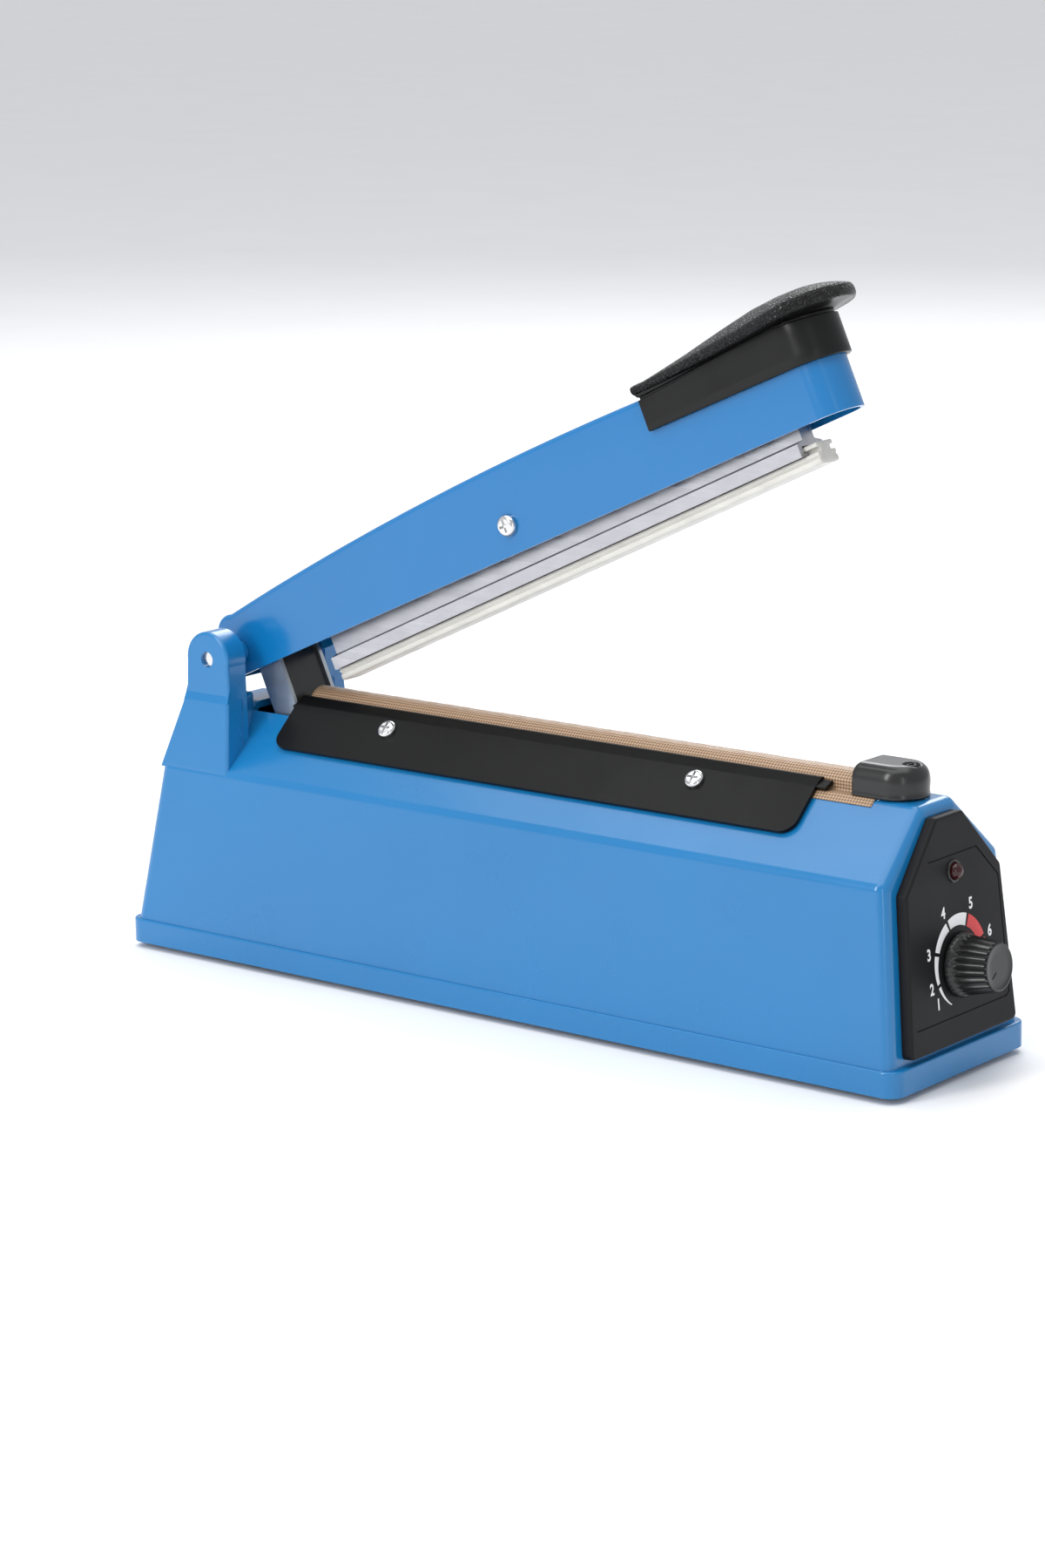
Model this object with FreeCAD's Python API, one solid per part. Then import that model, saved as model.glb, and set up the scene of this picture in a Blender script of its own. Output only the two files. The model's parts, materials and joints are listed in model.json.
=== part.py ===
"""Hand-operated impulse heat sealer, built as separate pieces.

The machine stands on rubber feet with +Z up. +X points to the end with the timer dial, -Y is the
side that the operator stands on. Everything is first laid out about the middle of the base's
underside, and each piece is then moved so that the origin lies on the ground at the middle of the
whole machine's length. The arm is drawn level, about its hinge pin, and is tipped up afterwards.
All lengths are in millimetres.
"""
import FreeCAD
import Part
import math
import os

from FreeCAD import Vector

# Base and housing
BASE_LENGTH = 300.0
BASE_WIDTH = 70.5
FLANGE_HEIGHT = 7.8
FLANGE_CORNER = 5.0
FLOOR_HALF = 34.3          # half width of the housing just above the flange
CREASE_HALF = 30.2         # half width where the side wall turns into the slope
CREASE_Z = 60.0
TOP_HALF = 8.7             # half width of the flat top
TOP_Z = 79.3
WALL = 2.3
FRONT_FOOT_X = 147.6       # front wall just above the flange
FRONT_LEAN = 5.38          # degrees that the front wall leans back
REAR_FOOT_X = -147.6
REAR_CREASE_X = -137.9
REAR_TOP_X = -128.9
BODY_ROUND = 3.6
FOOT_DROP = 2.0            # how far the feet stand below the flange
FOOT_RADIUS = 6.5
PLATE_Z = 1.0              # underside of the base plate
PLATE_THICK = 1.5

# Screws: head radius, head height, shank radius, shank length
PLATE_SCREW = (3.2, 1.6, 1.5, 12.0)
BLOCK_SCREW = (2.8, 0.9, 1.35, 76.0)
CLAMP_SCREW = (3.1, 1.8, 1.3, 8.5)
COVER_SCREW = (1.8, 1.0, 1.3, 12.0)
SWITCH_SCREW = (2.0, 1.0, 1.15, 9.0)
TRANSFORMER_SCREW = (2.8, 1.6, 1.5, 4.2)
PAD_SCREW = (3.0, 1.6, 1.15, 6.0)
CLEAR_HOLE = 1.7
THREAD_HOLE = 1.35
PLATE_HOLE = 1.8
BLOCK_HOLE = 1.4
TRANSFORMER_HOLE = 1.55

# Bosses, feet and air slots
PLATE_REACH = 147.0
PLATE_HALF = 32.4
BOSS_X = 128.0
BOSS_Y = 26.0
BOSS_RADIUS = 4.5
BOSS_BORE = 1.6
BOSS_TOP = 16.0
RIB_FOOT = 4.0
RIB_REACH = 1.27           # the ribs' outer end, as a share of the bosses' place
FOOT_X = 108.0
FOOT_Y = 22.0
VENT_COUNT = 7
VENT_PITCH = 8.0
VENT_WIDTH = 3.0
VENT_HALF = 8.0
VENT_Y = 13.0

# Slots in the housing's top
SLOT_REAR = -114.6
SLOT_FRONT = -94.9
SLOT_HALF = 11.4
SLOT_LOW = 70.0
SLOT_HIGH = 90.0
CONTROL_HOLE = 5.2
LAMP_WALL_HOLE = 3.4
WALL_REACH = 12.0          # how far behind the panel's face the wall's holes start

# Small pieces on the ridge
RIDGE_FOOT = 72.0
BLOCK_HALF_X = 5.0
BLOCK_HALF_Y = 9.0
TAPE_HALF = 2.6
FLAP_FRONT = 125.0
FLAP_DOWN = 2.8
COVER_INNER = 6.6
COVER_ROOM = 7.4
COVER_RECESS = 8.4
COVER_SHOULDER = 0.5       # where the cover's side starts to slope, as a share of its height
COVER_TOP_SHARE = 0.52     # half width of its flat top, as a share of its own half width

# Switch, transformer, board and wiring
SWITCH_DEPTH = 10.0
SWITCH_HALF = 10.0
SWITCH_THICK = 3.2         # half the switch's height
SWITCH_HOLE_X = 7.0
SWITCH_HOLE_Y = 5.0
CORE_HALF = 9.0
CORE_HEIGHT = 40.0
LIMB = 8.0
CONTROL_RADIUS = 8.5
LAMP_RADIUS = 2.5
BOARD_BACK = -22.8
BOARD_FACE = -21.2
BOARD_HALF = 19.0
BOARD_LOW = -16.0
BOARD_HIGH = 32.0
BOARD_POST_Y = 16.0
BOARD_POST_UP = -12.5
CAPACITORS = [(-10.0, 16.0, 5.0, 12.0), (9.0, 20.0, 4.0, 11.0)]
RELAY_BACK = -38.0
RELAY_HALF = 9.5
RELAY_LOW = -12.0
RELAY_HIGH = 3.0
TERMINAL_REAR = -100.0
TERMINAL_Y = (-9.0, 0.0, 9.0)
WIRE_RADIUS = 1.1

# Small features
SPRING_END = 8.0
SPRING_EYE = 2.1
FLUTES = 24
FLUTE_RADIUS = 0.55
LINE_WIDTH = 0.45
LINE_ROUTE = [(-12.3, 32.4), (12.3, 32.4), (22.7, 22.0), (24.3, -13.4), (22.6, -14.4), (-24.1, -14.4)]

# Hinge
PIVOT_X = -118.5
PIVOT_Z = 95.6
EAR_RADIUS = 8.9
EAR_OUTER = 27.7
EAR_INNER = 19.2
PILLAR_FRONT = -109.6
SHOULDER_TOP = 83.3        # the step between each pillar and the fork's slot
SHOULDER_INNER = 12.0
SHOULDER_LINE = [(-108.9, -22.6), (-113.4, -SHOULDER_INNER), (-126.4, -SHOULDER_INNER), (-126.4, -22.6)]
PIN_RADIUS = 2.4
SPACER_RADIUS = 3.9
RUNNING_GAP = 0.06
OPEN_ANGLE = 24.2          # the arm's slope when it stands open

# Arm, drawn level with the hinge pin at the origin
ARM_BOTTOM = -7.4
ARM_REAR = -7.6
ARM_REAR_HALF = 12.0
ARM_NOSE_HALF = 9.0
ARM_TAPER_START = 20.0
ARM_NOSE_CENTRE = 241.5
ARM_WALL = 1.3
ARM_TOP_REAR = 12.3
ARM_TOP_MIDDLE = 19.7
ARM_TOP_NOSE = 15.8
PAD_START = 185.2
PAD_REAR = 182.8
PAD_REACH = 243.0          # centre of the pad's round front
PAD_HALF = 16.5
SKIRT_BOTTOM = 8.4
SKIRT_WALL = 1.8
SKIRT_GAP = 0.12
SKIRT_LINE = [(181.8, SKIRT_BOTTOM + 1.0), (260.5, SKIRT_BOTTOM)]
LIP_LINE = [(181.8, 20.7), (205.0, 21.2), (228.0, 21.9), (245.0, 22.7), (260.5, 23.6)]
CROWN_LINE = [(181.8, 24.2), (205.0, 27.2), (232.0, 30.9), (250.0, 30.2), (257.0, 28.8), (260.5, 27.2)]
PAD_SCREW_ALONG = (200.0, 234.0)

# Press bar, drawn level with its screw at the origin
SCREW_ALONG = 122.0
SCREW_UP = 1.5
BAR_TILT = 0.6             # the open bar hangs a little nose-up of the arm
BAR_REAR = -91.0
BAR_FRONT = 107.8
BAR_TOP = 3.5
CHANNEL_TOP = -13.7
CHANNEL_BOTTOM = -17.7
CHANNEL_HALF = 6.2
WEB_HALF = 3.0
SILICONE_BOTTOM = -21.6
SILICONE_HALF = 4.6
SILICONE_FRONT = 112.6

# Sealing line
RIDGE_REAR = -94.6
RIDGE_FRONT = 116.2
RIDGE_HALF = 5.0
RIDGE_CROWN = 6.1
RIDGE_TOP = 85.0
CLOTH = 0.45
CLAMP_REAR = -96.9
CLAMP_FRONT = 104.6
CLAMP_THICK = 1.2
CLAMP_DOWN = 16.8          # how far the clamp plate reaches down the slope
CLAMP_SCREW_DOWN = 4.2
CLAMP_SCREW_X = (-55.9, 63.6)
BLOCK_X = (-34.0, 84.0)    # the blocks that carry the sealing bar

# Fork under the arm, and the spring that pulls on it
BRACKET_REAR = 3.8
BRACKET_FRONT = 13.5
BRACKET_STEP = 1.2         # the legs are narrower where they pass the clamp plates
BRACKET_STEP_LEVEL = -22.4
BRACKET_HALF = 10.1
BRACKET_SHEET = 1.5
BRACKET_TOP = 8.0
BRACKET_LOW = -36.0
HOOK_ALONG = 10.0
HOOK_LEVEL = -33.0
SPRING_POST = Vector(-58.0, 0, 56.0)
SPRING_RADIUS = 4.0
SPRING_WIRE = 0.65
SPRING_TURNS = 11

# Micro switch
SWITCH_FACE = -113.6
SWITCH_Z = 65.0
PLUNGER_TIP = -111.5

# Transformer
CORE_REAR = -14.0
CORE_FRONT = 34.0
CORE_Z = PLATE_Z + PLATE_THICK + 1.2
TRANSFORMER_SCREW_X = (CORE_REAR - 5.55, CORE_FRONT + 5.55)

# Terminals of the heating strip
LUG_Z = 77.0               # the rear lug, behind the ridge
TERMINAL_X = 122.4         # the front post, under the cover

# Terminal cover
COVER_REAR = 116.9
COVER_CENTRE = 127.5
COVER_HALF = 9.0
COVER_HEIGHT = 10.0
COVER_LIFT = 0.33          # the cloth's edge lies under the cover
COVER_SCREW_X = 131.5

# Control end
PANEL_THICK = 3.5
PANEL_Z_LOW = 9.9
PANEL_HALF_LOW = 27.8
PANEL_Z_SHOULDER = 57.1
PANEL_HALF_SHOULDER = 24.8
PANEL_Z_TOP = 76.2
PANEL_HALF_TOP = 7.0
DIAL_Z = 32.2
LED_Z = 59.6
KNOB_LENGTH = 13.5
KNOB_BASE = 9.7
KNOB_TIP = 7.1
SHAFT_RADIUS = 3.0
POINTER_REST = 222.0       # where the pointer stands at the least time

# Cord inlet in the rear wall
INLET_Z = 30.0
INLET_BORE = 3.6
INLET_OUTER = 6.0
INLET_LENGTH = 12.0

LEAN = math.tan(math.radians(FRONT_LEAN))
PANEL_SLANT = 1.0 / math.cos(math.radians(FRONT_LEAN))
FRONT_TOP_X = FRONT_FOOT_X - (TOP_Z - FLANGE_HEIGHT) * LEAN
SLOPE = math.atan2(TOP_Z - CREASE_Z, CREASE_HALF - TOP_HALF)
SLOPE_UP = Vector(0, math.cos(SLOPE), math.sin(SLOPE))        # up the near slope
SLOPE_OUT = Vector(0, -math.sin(SLOPE), math.cos(SLOPE))      # out of the near slope

X = Vector(1, 0, 0)
Y = Vector(0, 1, 0)
Z = Vector(0, 0, 1)


def panel_front_x(z):
    """Where the control panel's front face lies at a height."""
    return FRONT_FOOT_X + (PANEL_THICK + 0.02) * PANEL_SLANT - (z - FLANGE_HEIGHT) * LEAN


# The knob's front face ends the machine at one end and the flange at the other.
KNOB_FRONT_X = panel_front_x(DIAL_Z) + KNOB_LENGTH * math.cos(math.radians(FRONT_LEAN))
KNOB_FRONT_X += KNOB_TIP * math.sin(math.radians(FRONT_LEAN))
ORIGIN_X = (KNOB_FRONT_X - BASE_LENGTH / 2) / 2


def box(x0, x1, y0, y1, z0, z1):
    """A box between two corners."""
    return Part.makeBox(x1 - x0, y1 - y0, z1 - z0, Vector(x0, y0, z0))


def rod(radius, start, direction, length):
    """A solid cylinder."""
    return Part.makeCylinder(radius, length, start, direction)


def tube(outer, inner, start, direction, length):
    """A hollow cylinder."""
    bore = rod(inner, start - direction * 1.0, direction, length + 2.0)
    return rod(outer, start, direction, length).cut(bore)


def side_prism(outline, half):
    """A side outline of (x, z) points carried across the machine, from -half to +half."""
    points = [Vector(x, -half, z) for x, z in outline]
    return Part.Face(Part.makePolygon(points + points[:1])).extrude(Vector(0, 2 * half, 0))


def end_prism(outline, x0, x1):
    """An end outline of (y, z) points carried along the machine."""
    points = [Vector(x0, y, z) for y, z in outline]
    return Part.Face(Part.makePolygon(points + points[:1])).extrude(Vector(x1 - x0, 0, 0))


def round_corners(shape, radius, wanted):
    """Round the edges that a test picks. The radius is halved until the corners close."""
    edges = [edge for edge in shape.Edges if wanted(edge)]
    while radius > 0.3 and edges:
        try:
            rounded = shape.makeFillet(radius, edges)
            if rounded.isValid() and rounded.Volume > 0:
                return rounded
        except Part.OCCError:
            pass
        radius = radius / 2
    return shape


def lengthwise(edge):
    """True for an edge that runs mostly along the machine."""
    bounds = edge.BoundBox
    return bounds.XLength > 4 * max(bounds.YLength, bounds.ZLength)


def mirror_y(shape):
    """The same piece on the far side of the machine."""
    return shape.mirror(Vector(0, 0, 0), Y)


def on_arm(shape):
    """Tip a piece drawn level about the hinge pin up to the open arm."""
    shape = shape.copy()
    shape.rotate(Vector(0, 0, 0), Y, -OPEN_ANGLE)
    shape.translate(Vector(PIVOT_X, 0, PIVOT_Z))
    return shape


def on_bar(shape):
    """Place a piece drawn level about the bar's screw on the open arm."""
    shape = shape.copy()
    shape.rotate(Vector(0, 0, 0), Y, -BAR_TILT)
    shape.translate(Vector(SCREW_ALONG, 0, SCREW_UP))
    return on_arm(shape)


def on_panel(shape, height=DIAL_Z):
    """Place a piece drawn about the origin, with +X outwards, on the leaning panel's face."""
    shape = shape.copy()
    shape.rotate(Vector(0, 0, 0), Y, -FRONT_LEAN)
    shape.translate(Vector(panel_front_x(height), 0, height))
    return shape


def pan_screw(place, out, head_radius, head_height, shank_radius, shank_length):
    """A screw with a domed head and a cross recess. Out points out of the head."""
    shank = rod(shank_radius, place - out * shank_length, out, shank_length)
    head = rod(head_radius, place, out, head_height)
    rim = [e for e in head.Edges if e.Closed and (e.CenterOfMass - place).dot(out) > head_height / 2]
    head = head.makeFillet(head_height * 0.7, rim)
    across = out.cross(X)
    if across.Length < 0.1:
        across = out.cross(Z)
    across.normalize()
    recess = None
    for direction in (across, out.cross(across)):
        side = out.cross(direction)
        corner = place + out * (head_height * 0.45) - direction * (head_radius * 0.6) - side * 0.4
        arm = Part.makeBox(head_radius * 1.2, 0.8, head_height)
        turn = FreeCAD.Matrix(direction.x, side.x, out.x, corner.x,
                              direction.y, side.y, out.y, corner.y,
                              direction.z, side.z, out.z, corner.z,
                              0, 0, 0, 1)
        arm = arm.transformGeometry(turn)
        recess = arm if recess is None else recess.fuse(arm)
    return head.fuse(shank).cut(recess)


def bent_tube(points, radius):
    """A wire of straight runs joined by tangent arcs. An arc is as large as its runs allow."""
    corners = [Vector(*p) for p in points]
    edges = []
    start = corners[0]
    for before, corner, after in zip(corners, corners[1:], corners[2:]):
        back = before - corner
        ahead = after - corner
        reach = 0.45 * min(back.Length, ahead.Length)
        back.normalize()
        ahead.normalize()
        leave = corner + back * reach
        enter = corner + ahead * reach
        half_turn = (math.pi - back.getAngle(ahead)) / 2
        bend = reach / math.tan(half_turn)
        towards = back + ahead
        towards.normalize()
        middle = corner + towards * (math.hypot(bend, reach) - bend)
        edges.append(Part.LineSegment(start, leave).toShape())
        edges.append(Part.Arc(leave, middle, enter).toShape())
        start = enter
    edges.append(Part.LineSegment(start, corners[-1]).toShape())
    path = Part.Wire(edges)
    heading = corners[1] - corners[0]
    ring = Part.Wire(Part.makeCircle(radius, corners[0], heading))
    return path.makePipeShell([ring], True, False)


# ---------------------------------------------------------------- housing


def body_block(inset):
    """The housing's outer form above the flange, or its hollow when the inset is the wall."""
    low = FLANGE_HEIGHT
    side_lean = (FLOOR_HALF - CREASE_HALF) / (CREASE_Z - FLANGE_HEIGHT)
    top = TOP_Z - inset
    crease_drop = inset * 0.45
    section = [(FLOOR_HALF - inset + side_lean * low, 0.0),
               (CREASE_HALF - inset, CREASE_Z - crease_drop),
               (TOP_HALF - inset * 0.38, top)]
    section = section + [(-y, z) for y, z in reversed(section)]
    rear_lean = (REAR_CREASE_X - REAR_FOOT_X) / (CREASE_Z - low)
    side = [(REAR_FOOT_X - rear_lean * low + inset, 0.0),
            (REAR_CREASE_X + inset, CREASE_Z),
            (REAR_TOP_X + inset, top),
            (FRONT_TOP_X - inset, top),
            (FRONT_FOOT_X + LEAN * low - inset, 0.0)]
    block = end_prism(section, -BASE_LENGTH / 2 - 5, BASE_LENGTH / 2 + 5)
    return block.common(side_prism(side, BASE_WIDTH))


def flange():
    """The lip round the foot of the housing."""
    half_length = BASE_LENGTH / 2
    half_width = BASE_WIDTH / 2
    lip = box(-half_length, half_length, -half_width, half_width, 0, FLANGE_HEIGHT)
    lip = round_corners(lip, FLANGE_CORNER, lambda e: e.BoundBox.ZLength > FLANGE_HEIGHT / 2)
    return round_corners(lip, 0.7, lambda e: e.BoundBox.ZMin > FLANGE_HEIGHT - 0.1)


def ear():
    """The near hinge ear and the pillar that it grows out of."""
    foot = CREASE_Z - 1.0
    head = Vector(PIVOT_X, 0, PIVOT_Z)
    rear_line = [(REAR_CREASE_X + 0.2, foot), (-128.4, 81.0), (-127.9, 84.0)]
    front_line = [(PILLAR_FRONT, 84.0), (PILLAR_FRONT + 0.3, 77.0), (PILLAR_FRONT + 0.6, foot)]
    left = (PIVOT_X - EAR_RADIUS * 0.994, PIVOT_Z - EAR_RADIUS * 0.11)
    right = (PIVOT_X + EAR_RADIUS * 0.98, PIVOT_Z - EAR_RADIUS * 0.2)
    y = -CREASE_HALF
    points = [Vector(px, y, pz) for px, pz in rear_line + [left]]
    edges = [Part.LineSegment(a, b).toShape() for a, b in zip(points, points[1:])]
    crown = Vector(head.x, y, head.z + EAR_RADIUS)
    after = [Vector(px, y, pz) for px, pz in [right] + front_line]
    edges.append(Part.Arc(points[-1], crown, after[0]).toShape())
    edges += [Part.LineSegment(a, b).toShape() for a, b in zip(after, after[1:])]
    edges.append(Part.LineSegment(after[-1], points[0]).toShape())
    plate = Part.Face(Part.Wire(edges)).extrude(Vector(0, CREASE_HALF - EAR_INNER, 0))
    lean = (FLOOR_HALF - CREASE_HALF) / (CREASE_Z - FLANGE_HEIGHT)
    shoulder = TOP_Z + 2.7
    outside = [(-CREASE_HALF, CREASE_Z), (-CREASE_HALF + (shoulder - CREASE_Z) * lean, shoulder),
               (-EAR_OUTER, shoulder + 2.5), (-EAR_OUTER, 120.0), (-EAR_INNER, 120.0),
               (-EAR_INNER, foot), (-CREASE_HALF, foot)]
    plate = plate.common(end_prism(outside, -BASE_LENGTH / 2, 0))
    plate = round_corners(plate, 2.4, on_front_edge)
    return round_corners(plate, 1.0, on_head_edge)


def shoulder():
    """The raised step between the near pillar and the fork's slot. Its front wall runs aslant."""
    foot = CREASE_Z + 2.0
    points = [Vector(px, py, foot) for px, py in SHOULDER_LINE]
    step = Part.Face(Part.makePolygon(points + points[:1])).extrude(Vector(0, 0, SHOULDER_TOP - foot))
    return round_corners(step, 1.2, lambda e: e.BoundBox.ZMin > SHOULDER_TOP - 0.1)


def on_front_edge(edge):
    """True for the pillar's outer front edge, below the ear's round head."""
    bounds = edge.BoundBox
    outer = bounds.YMax < -EAR_OUTER + 3.5
    front = bounds.XMin > PILLAR_FRONT - 1.0
    upright = bounds.ZLength > 5.0
    return outer and front and upright and bounds.ZMax < 86.0


def on_head_edge(edge):
    """True for the rim of the ear's outer face, round its head."""
    bounds = edge.BoundBox
    return abs(bounds.YMin + EAR_OUTER) < 0.05 and abs(bounds.YMax + EAR_OUTER) < 0.05 and bounds.ZMax > 90


def housing():
    """The moulded shell: flange, leaning walls, sloped shoulders, hinge ears and bosses."""
    body = body_block(0.0)
    body = body.common(box(-200, 200, -50, 50, FLANGE_HEIGHT - 1.0, 100))
    body = round_corners(body, BODY_ROUND, lambda e: e.BoundBox.ZMax > FLANGE_HEIGHT + 1.0)
    shell = body.fuse(flange())
    near_ear = ear()
    shell = shell.fuse(near_ear).fuse(mirror_y(near_ear))
    near_step = shoulder()
    shell = shell.fuse(near_step).fuse(mirror_y(near_step))
    shell = shell.cut(body_block(WALL))
    room = PLATE_REACH + 0.2
    plate_room = box(-room, room, -PLATE_HALF - 0.2, PLATE_HALF + 0.2, -1.0, PLATE_Z + PLATE_THICK)
    shell = shell.cut(plate_room)
    for x in (-BOSS_X, BOSS_X):
        for y in (-BOSS_Y, BOSS_Y):
            post = tube(BOSS_RADIUS, BOSS_BORE, Vector(x, y, PLATE_Z + PLATE_THICK), Z, BOSS_TOP)
            rib = box(x - 1.0, x + 1.0, min(y, y * RIB_REACH), max(y, y * RIB_REACH), RIB_FOOT, BOSS_TOP)
            rib = rib.cut(rod(BOSS_RADIUS - 1.5, Vector(x, y, 0), Z, BOSS_TOP * 2))
            shell = shell.fuse(post).fuse(rib)
    for y in (-40.0, EAR_INNER - 4.0):
        shell = shell.cut(rod(PIN_RADIUS + 0.1, Vector(PIVOT_X, y, PIVOT_Z), Y, 40.0 - EAR_INNER + 4.0))
    bracket_slot = box(SLOT_REAR, SLOT_FRONT, -SLOT_HALF, SLOT_HALF, SLOT_LOW, SLOT_HIGH)
    ridge_slot = box(RIDGE_REAR - 0.4, RIDGE_FRONT + 0.8, -RIDGE_HALF - 0.3, RIDGE_HALF + 0.3,
                     SLOT_LOW, SLOT_HIGH)
    shell = shell.cut(bracket_slot).cut(ridge_slot)
    shell = shell.cut(on_panel(rod(CONTROL_HOLE, Vector(-WALL_REACH, 0, 0), X, WALL_REACH + 2.0)))
    shell = shell.cut(on_panel(rod(LAMP_WALL_HOLE, Vector(-WALL_REACH, 0, 0), X, WALL_REACH + 2.0), LED_Z))
    shell = shell.cut(rod(INLET_OUTER - 1.2, Vector(-BASE_LENGTH / 2 - 10.0, 0, INLET_Z), X, 30.0))
    shell = shell.cut(rod(CLEAR_HOLE, Vector(TERMINAL_X, 0, TOP_Z - 10.0), Z, 12.0))
    shell = shell.cut(rod(THREAD_HOLE, Vector(COVER_SCREW_X, 0, TOP_Z - 10.0), Z, 12.0))
    for side in (1, -1):
        for x in CLAMP_SCREW_X:
            hole = rod(THREAD_HOLE, slope_point(x, CLAMP_SCREW_DOWN, -8.0), SLOPE_OUT, 12.0)
            shell = shell.cut(hole if side > 0 else mirror_y(hole))
    return shell


def slope_point(x, down, out):
    """A point on the near slope: down from its top edge, and out of its face."""
    edge = Vector(x, -TOP_HALF, TOP_Z)
    return edge - SLOPE_UP * down + SLOPE_OUT * out


def base_plate():
    """The flat cover under the machine, with holes for its screws and a row of air slots."""
    plate = box(-PLATE_REACH, PLATE_REACH, -PLATE_HALF, PLATE_HALF, PLATE_Z, PLATE_Z + PLATE_THICK)
    plate = round_corners(plate, 3.0, lambda e: e.BoundBox.ZLength > PLATE_THICK / 2)
    for x in (-BOSS_X, BOSS_X):
        for y in (-BOSS_Y, BOSS_Y):
            plate = plate.cut(rod(PLATE_HOLE, Vector(x, y, 0), Z, 6.0))
    for x in BLOCK_X:
        plate = plate.cut(rod(BLOCK_HOLE, Vector(x, 0, 0), Z, 6.0))
    for x in TRANSFORMER_SCREW_X:
        plate = plate.cut(rod(TRANSFORMER_HOLE, Vector(x, 0, 0), Z, 6.0))
    for step in range(VENT_COUNT):
        x = CORE_REAR + step * VENT_PITCH
        for y in (-VENT_Y, VENT_Y):
            plate = plate.cut(box(x, x + VENT_WIDTH, y - VENT_HALF, y + VENT_HALF, 0, 6.0))
    return plate


def rubber_feet():
    """Four feet stuck to the base plate, inboard of its screws."""
    feet = []
    for x in (-FOOT_X, FOOT_X):
        for y in (-FOOT_Y, FOOT_Y):
            place = Vector(x, y, -FOOT_DROP)
            foot = Part.makeCone(FOOT_RADIUS - 0.8, FOOT_RADIUS, FOOT_DROP + PLATE_Z, place, Z)
            foot = round_corners(foot, 0.5, lambda e: e.BoundBox.ZMax < -FOOT_DROP + 0.1)
            feet.append(foot)
    return Part.makeCompound(feet)


def base_screws():
    """Four screws through the base plate into the housing's posts."""
    screws = []
    for x in (-BOSS_X, BOSS_X):
        for y in (-BOSS_Y, BOSS_Y):
            screws.append(pan_screw(Vector(x, y, PLATE_Z), -Z, *PLATE_SCREW))
    return Part.makeCompound(screws)


# ---------------------------------------------------------------- sealing line


def crowned_bar(half, crown, top, bottom, x0, x1):
    """A bar with straight sides and a round top."""
    drop = crown - math.sqrt(crown * crown - half * half)
    corners = [Vector(x0, -half, bottom), Vector(x0, -half, top - drop),
               Vector(x0, half, top - drop), Vector(x0, half, bottom)]
    edges = [Part.LineSegment(corners[0], corners[1]).toShape(),
             Part.Arc(corners[1], Vector(x0, 0, top), corners[2]).toShape(),
             Part.LineSegment(corners[2], corners[3]).toShape(),
             Part.LineSegment(corners[3], corners[0]).toShape()]
    return Part.Face(Part.Wire(edges)).extrude(Vector(x1 - x0, 0, 0))


def sealing_bar():
    """The aluminium bar under the heating strip."""
    top = RIDGE_TOP - 0.3
    bar = crowned_bar(RIDGE_HALF - 0.5, RIDGE_CROWN, top, RIDGE_FOOT, RIDGE_REAR + 0.6, RIDGE_FRONT)
    for x in BLOCK_X:
        bar = bar.cut(rod(1.4, Vector(x, 0, 70.0), Z, 8.0))
    return bar.cut(rod(1.55, Vector(RIDGE_REAR, 0, LUG_Z), X, 10.0))


def bar_blocks():
    """Two heat-proof blocks that carry the sealing bar on the base plate."""
    blocks = []
    for x in BLOCK_X:
        column = box(x - BLOCK_HALF_X, x + BLOCK_HALF_X, -BLOCK_HALF_Y, BLOCK_HALF_Y, PLATE_Z + PLATE_THICK,
                     RIDGE_FOOT)
        column = column.cut(rod(CLEAR_HOLE, Vector(x, 0, 0), Z, 90.0))
        blocks.append(column)
    return Part.makeCompound(blocks)


def bar_block_screws():
    """Screws that come up through the blocks into the sealing bar."""
    screws = [pan_screw(Vector(x, 0, PLATE_Z), -Z, *BLOCK_SCREW) for x in BLOCK_X]
    return Part.makeCompound(screws)


def insulating_tape():
    """Heat-proof tape between the bar and the heating strip."""
    low = crowned_bar(TAPE_HALF, RIDGE_CROWN, RIDGE_TOP - 0.3, TOP_Z + 0.7, RIDGE_REAR + 0.6, RIDGE_FRONT)
    high = crowned_bar(TAPE_HALF, RIDGE_CROWN + 0.15, RIDGE_TOP - 0.15, TOP_Z + 0.7, RIDGE_REAR + 0.6,
                       RIDGE_FRONT)
    return high.cut(low)


def heating_element():
    """The resistance strip along the crown, turned down to a ring lug at each end."""
    rear = RIDGE_REAR - 0.6
    front = RIDGE_FRONT + 1.0
    low = TOP_Z + 3.1
    strip = box(rear - 0.25, front, -1.0, 1.0, RIDGE_TOP - 0.15, RIDGE_TOP)
    rear_leg = box(rear - 0.25, rear, -1.0, 1.0, LUG_Z + 2.0, RIDGE_TOP)
    rear_lug = tube(2.9, 1.6, Vector(rear - 0.4, 0, LUG_Z), X, 0.6)
    front_leg = box(front - 0.25, front, -1.0, 1.0, low, RIDGE_TOP)
    link = box(front - 0.25, TERMINAL_X - 2.2, -1.0, 1.0, low, low + 0.3)
    front_lug = tube(3.0, 1.65, Vector(TERMINAL_X, 0, low), Z, 0.6)
    return strip.fuse([rear_leg, rear_lug, front_leg, front_lug, link])


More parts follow.
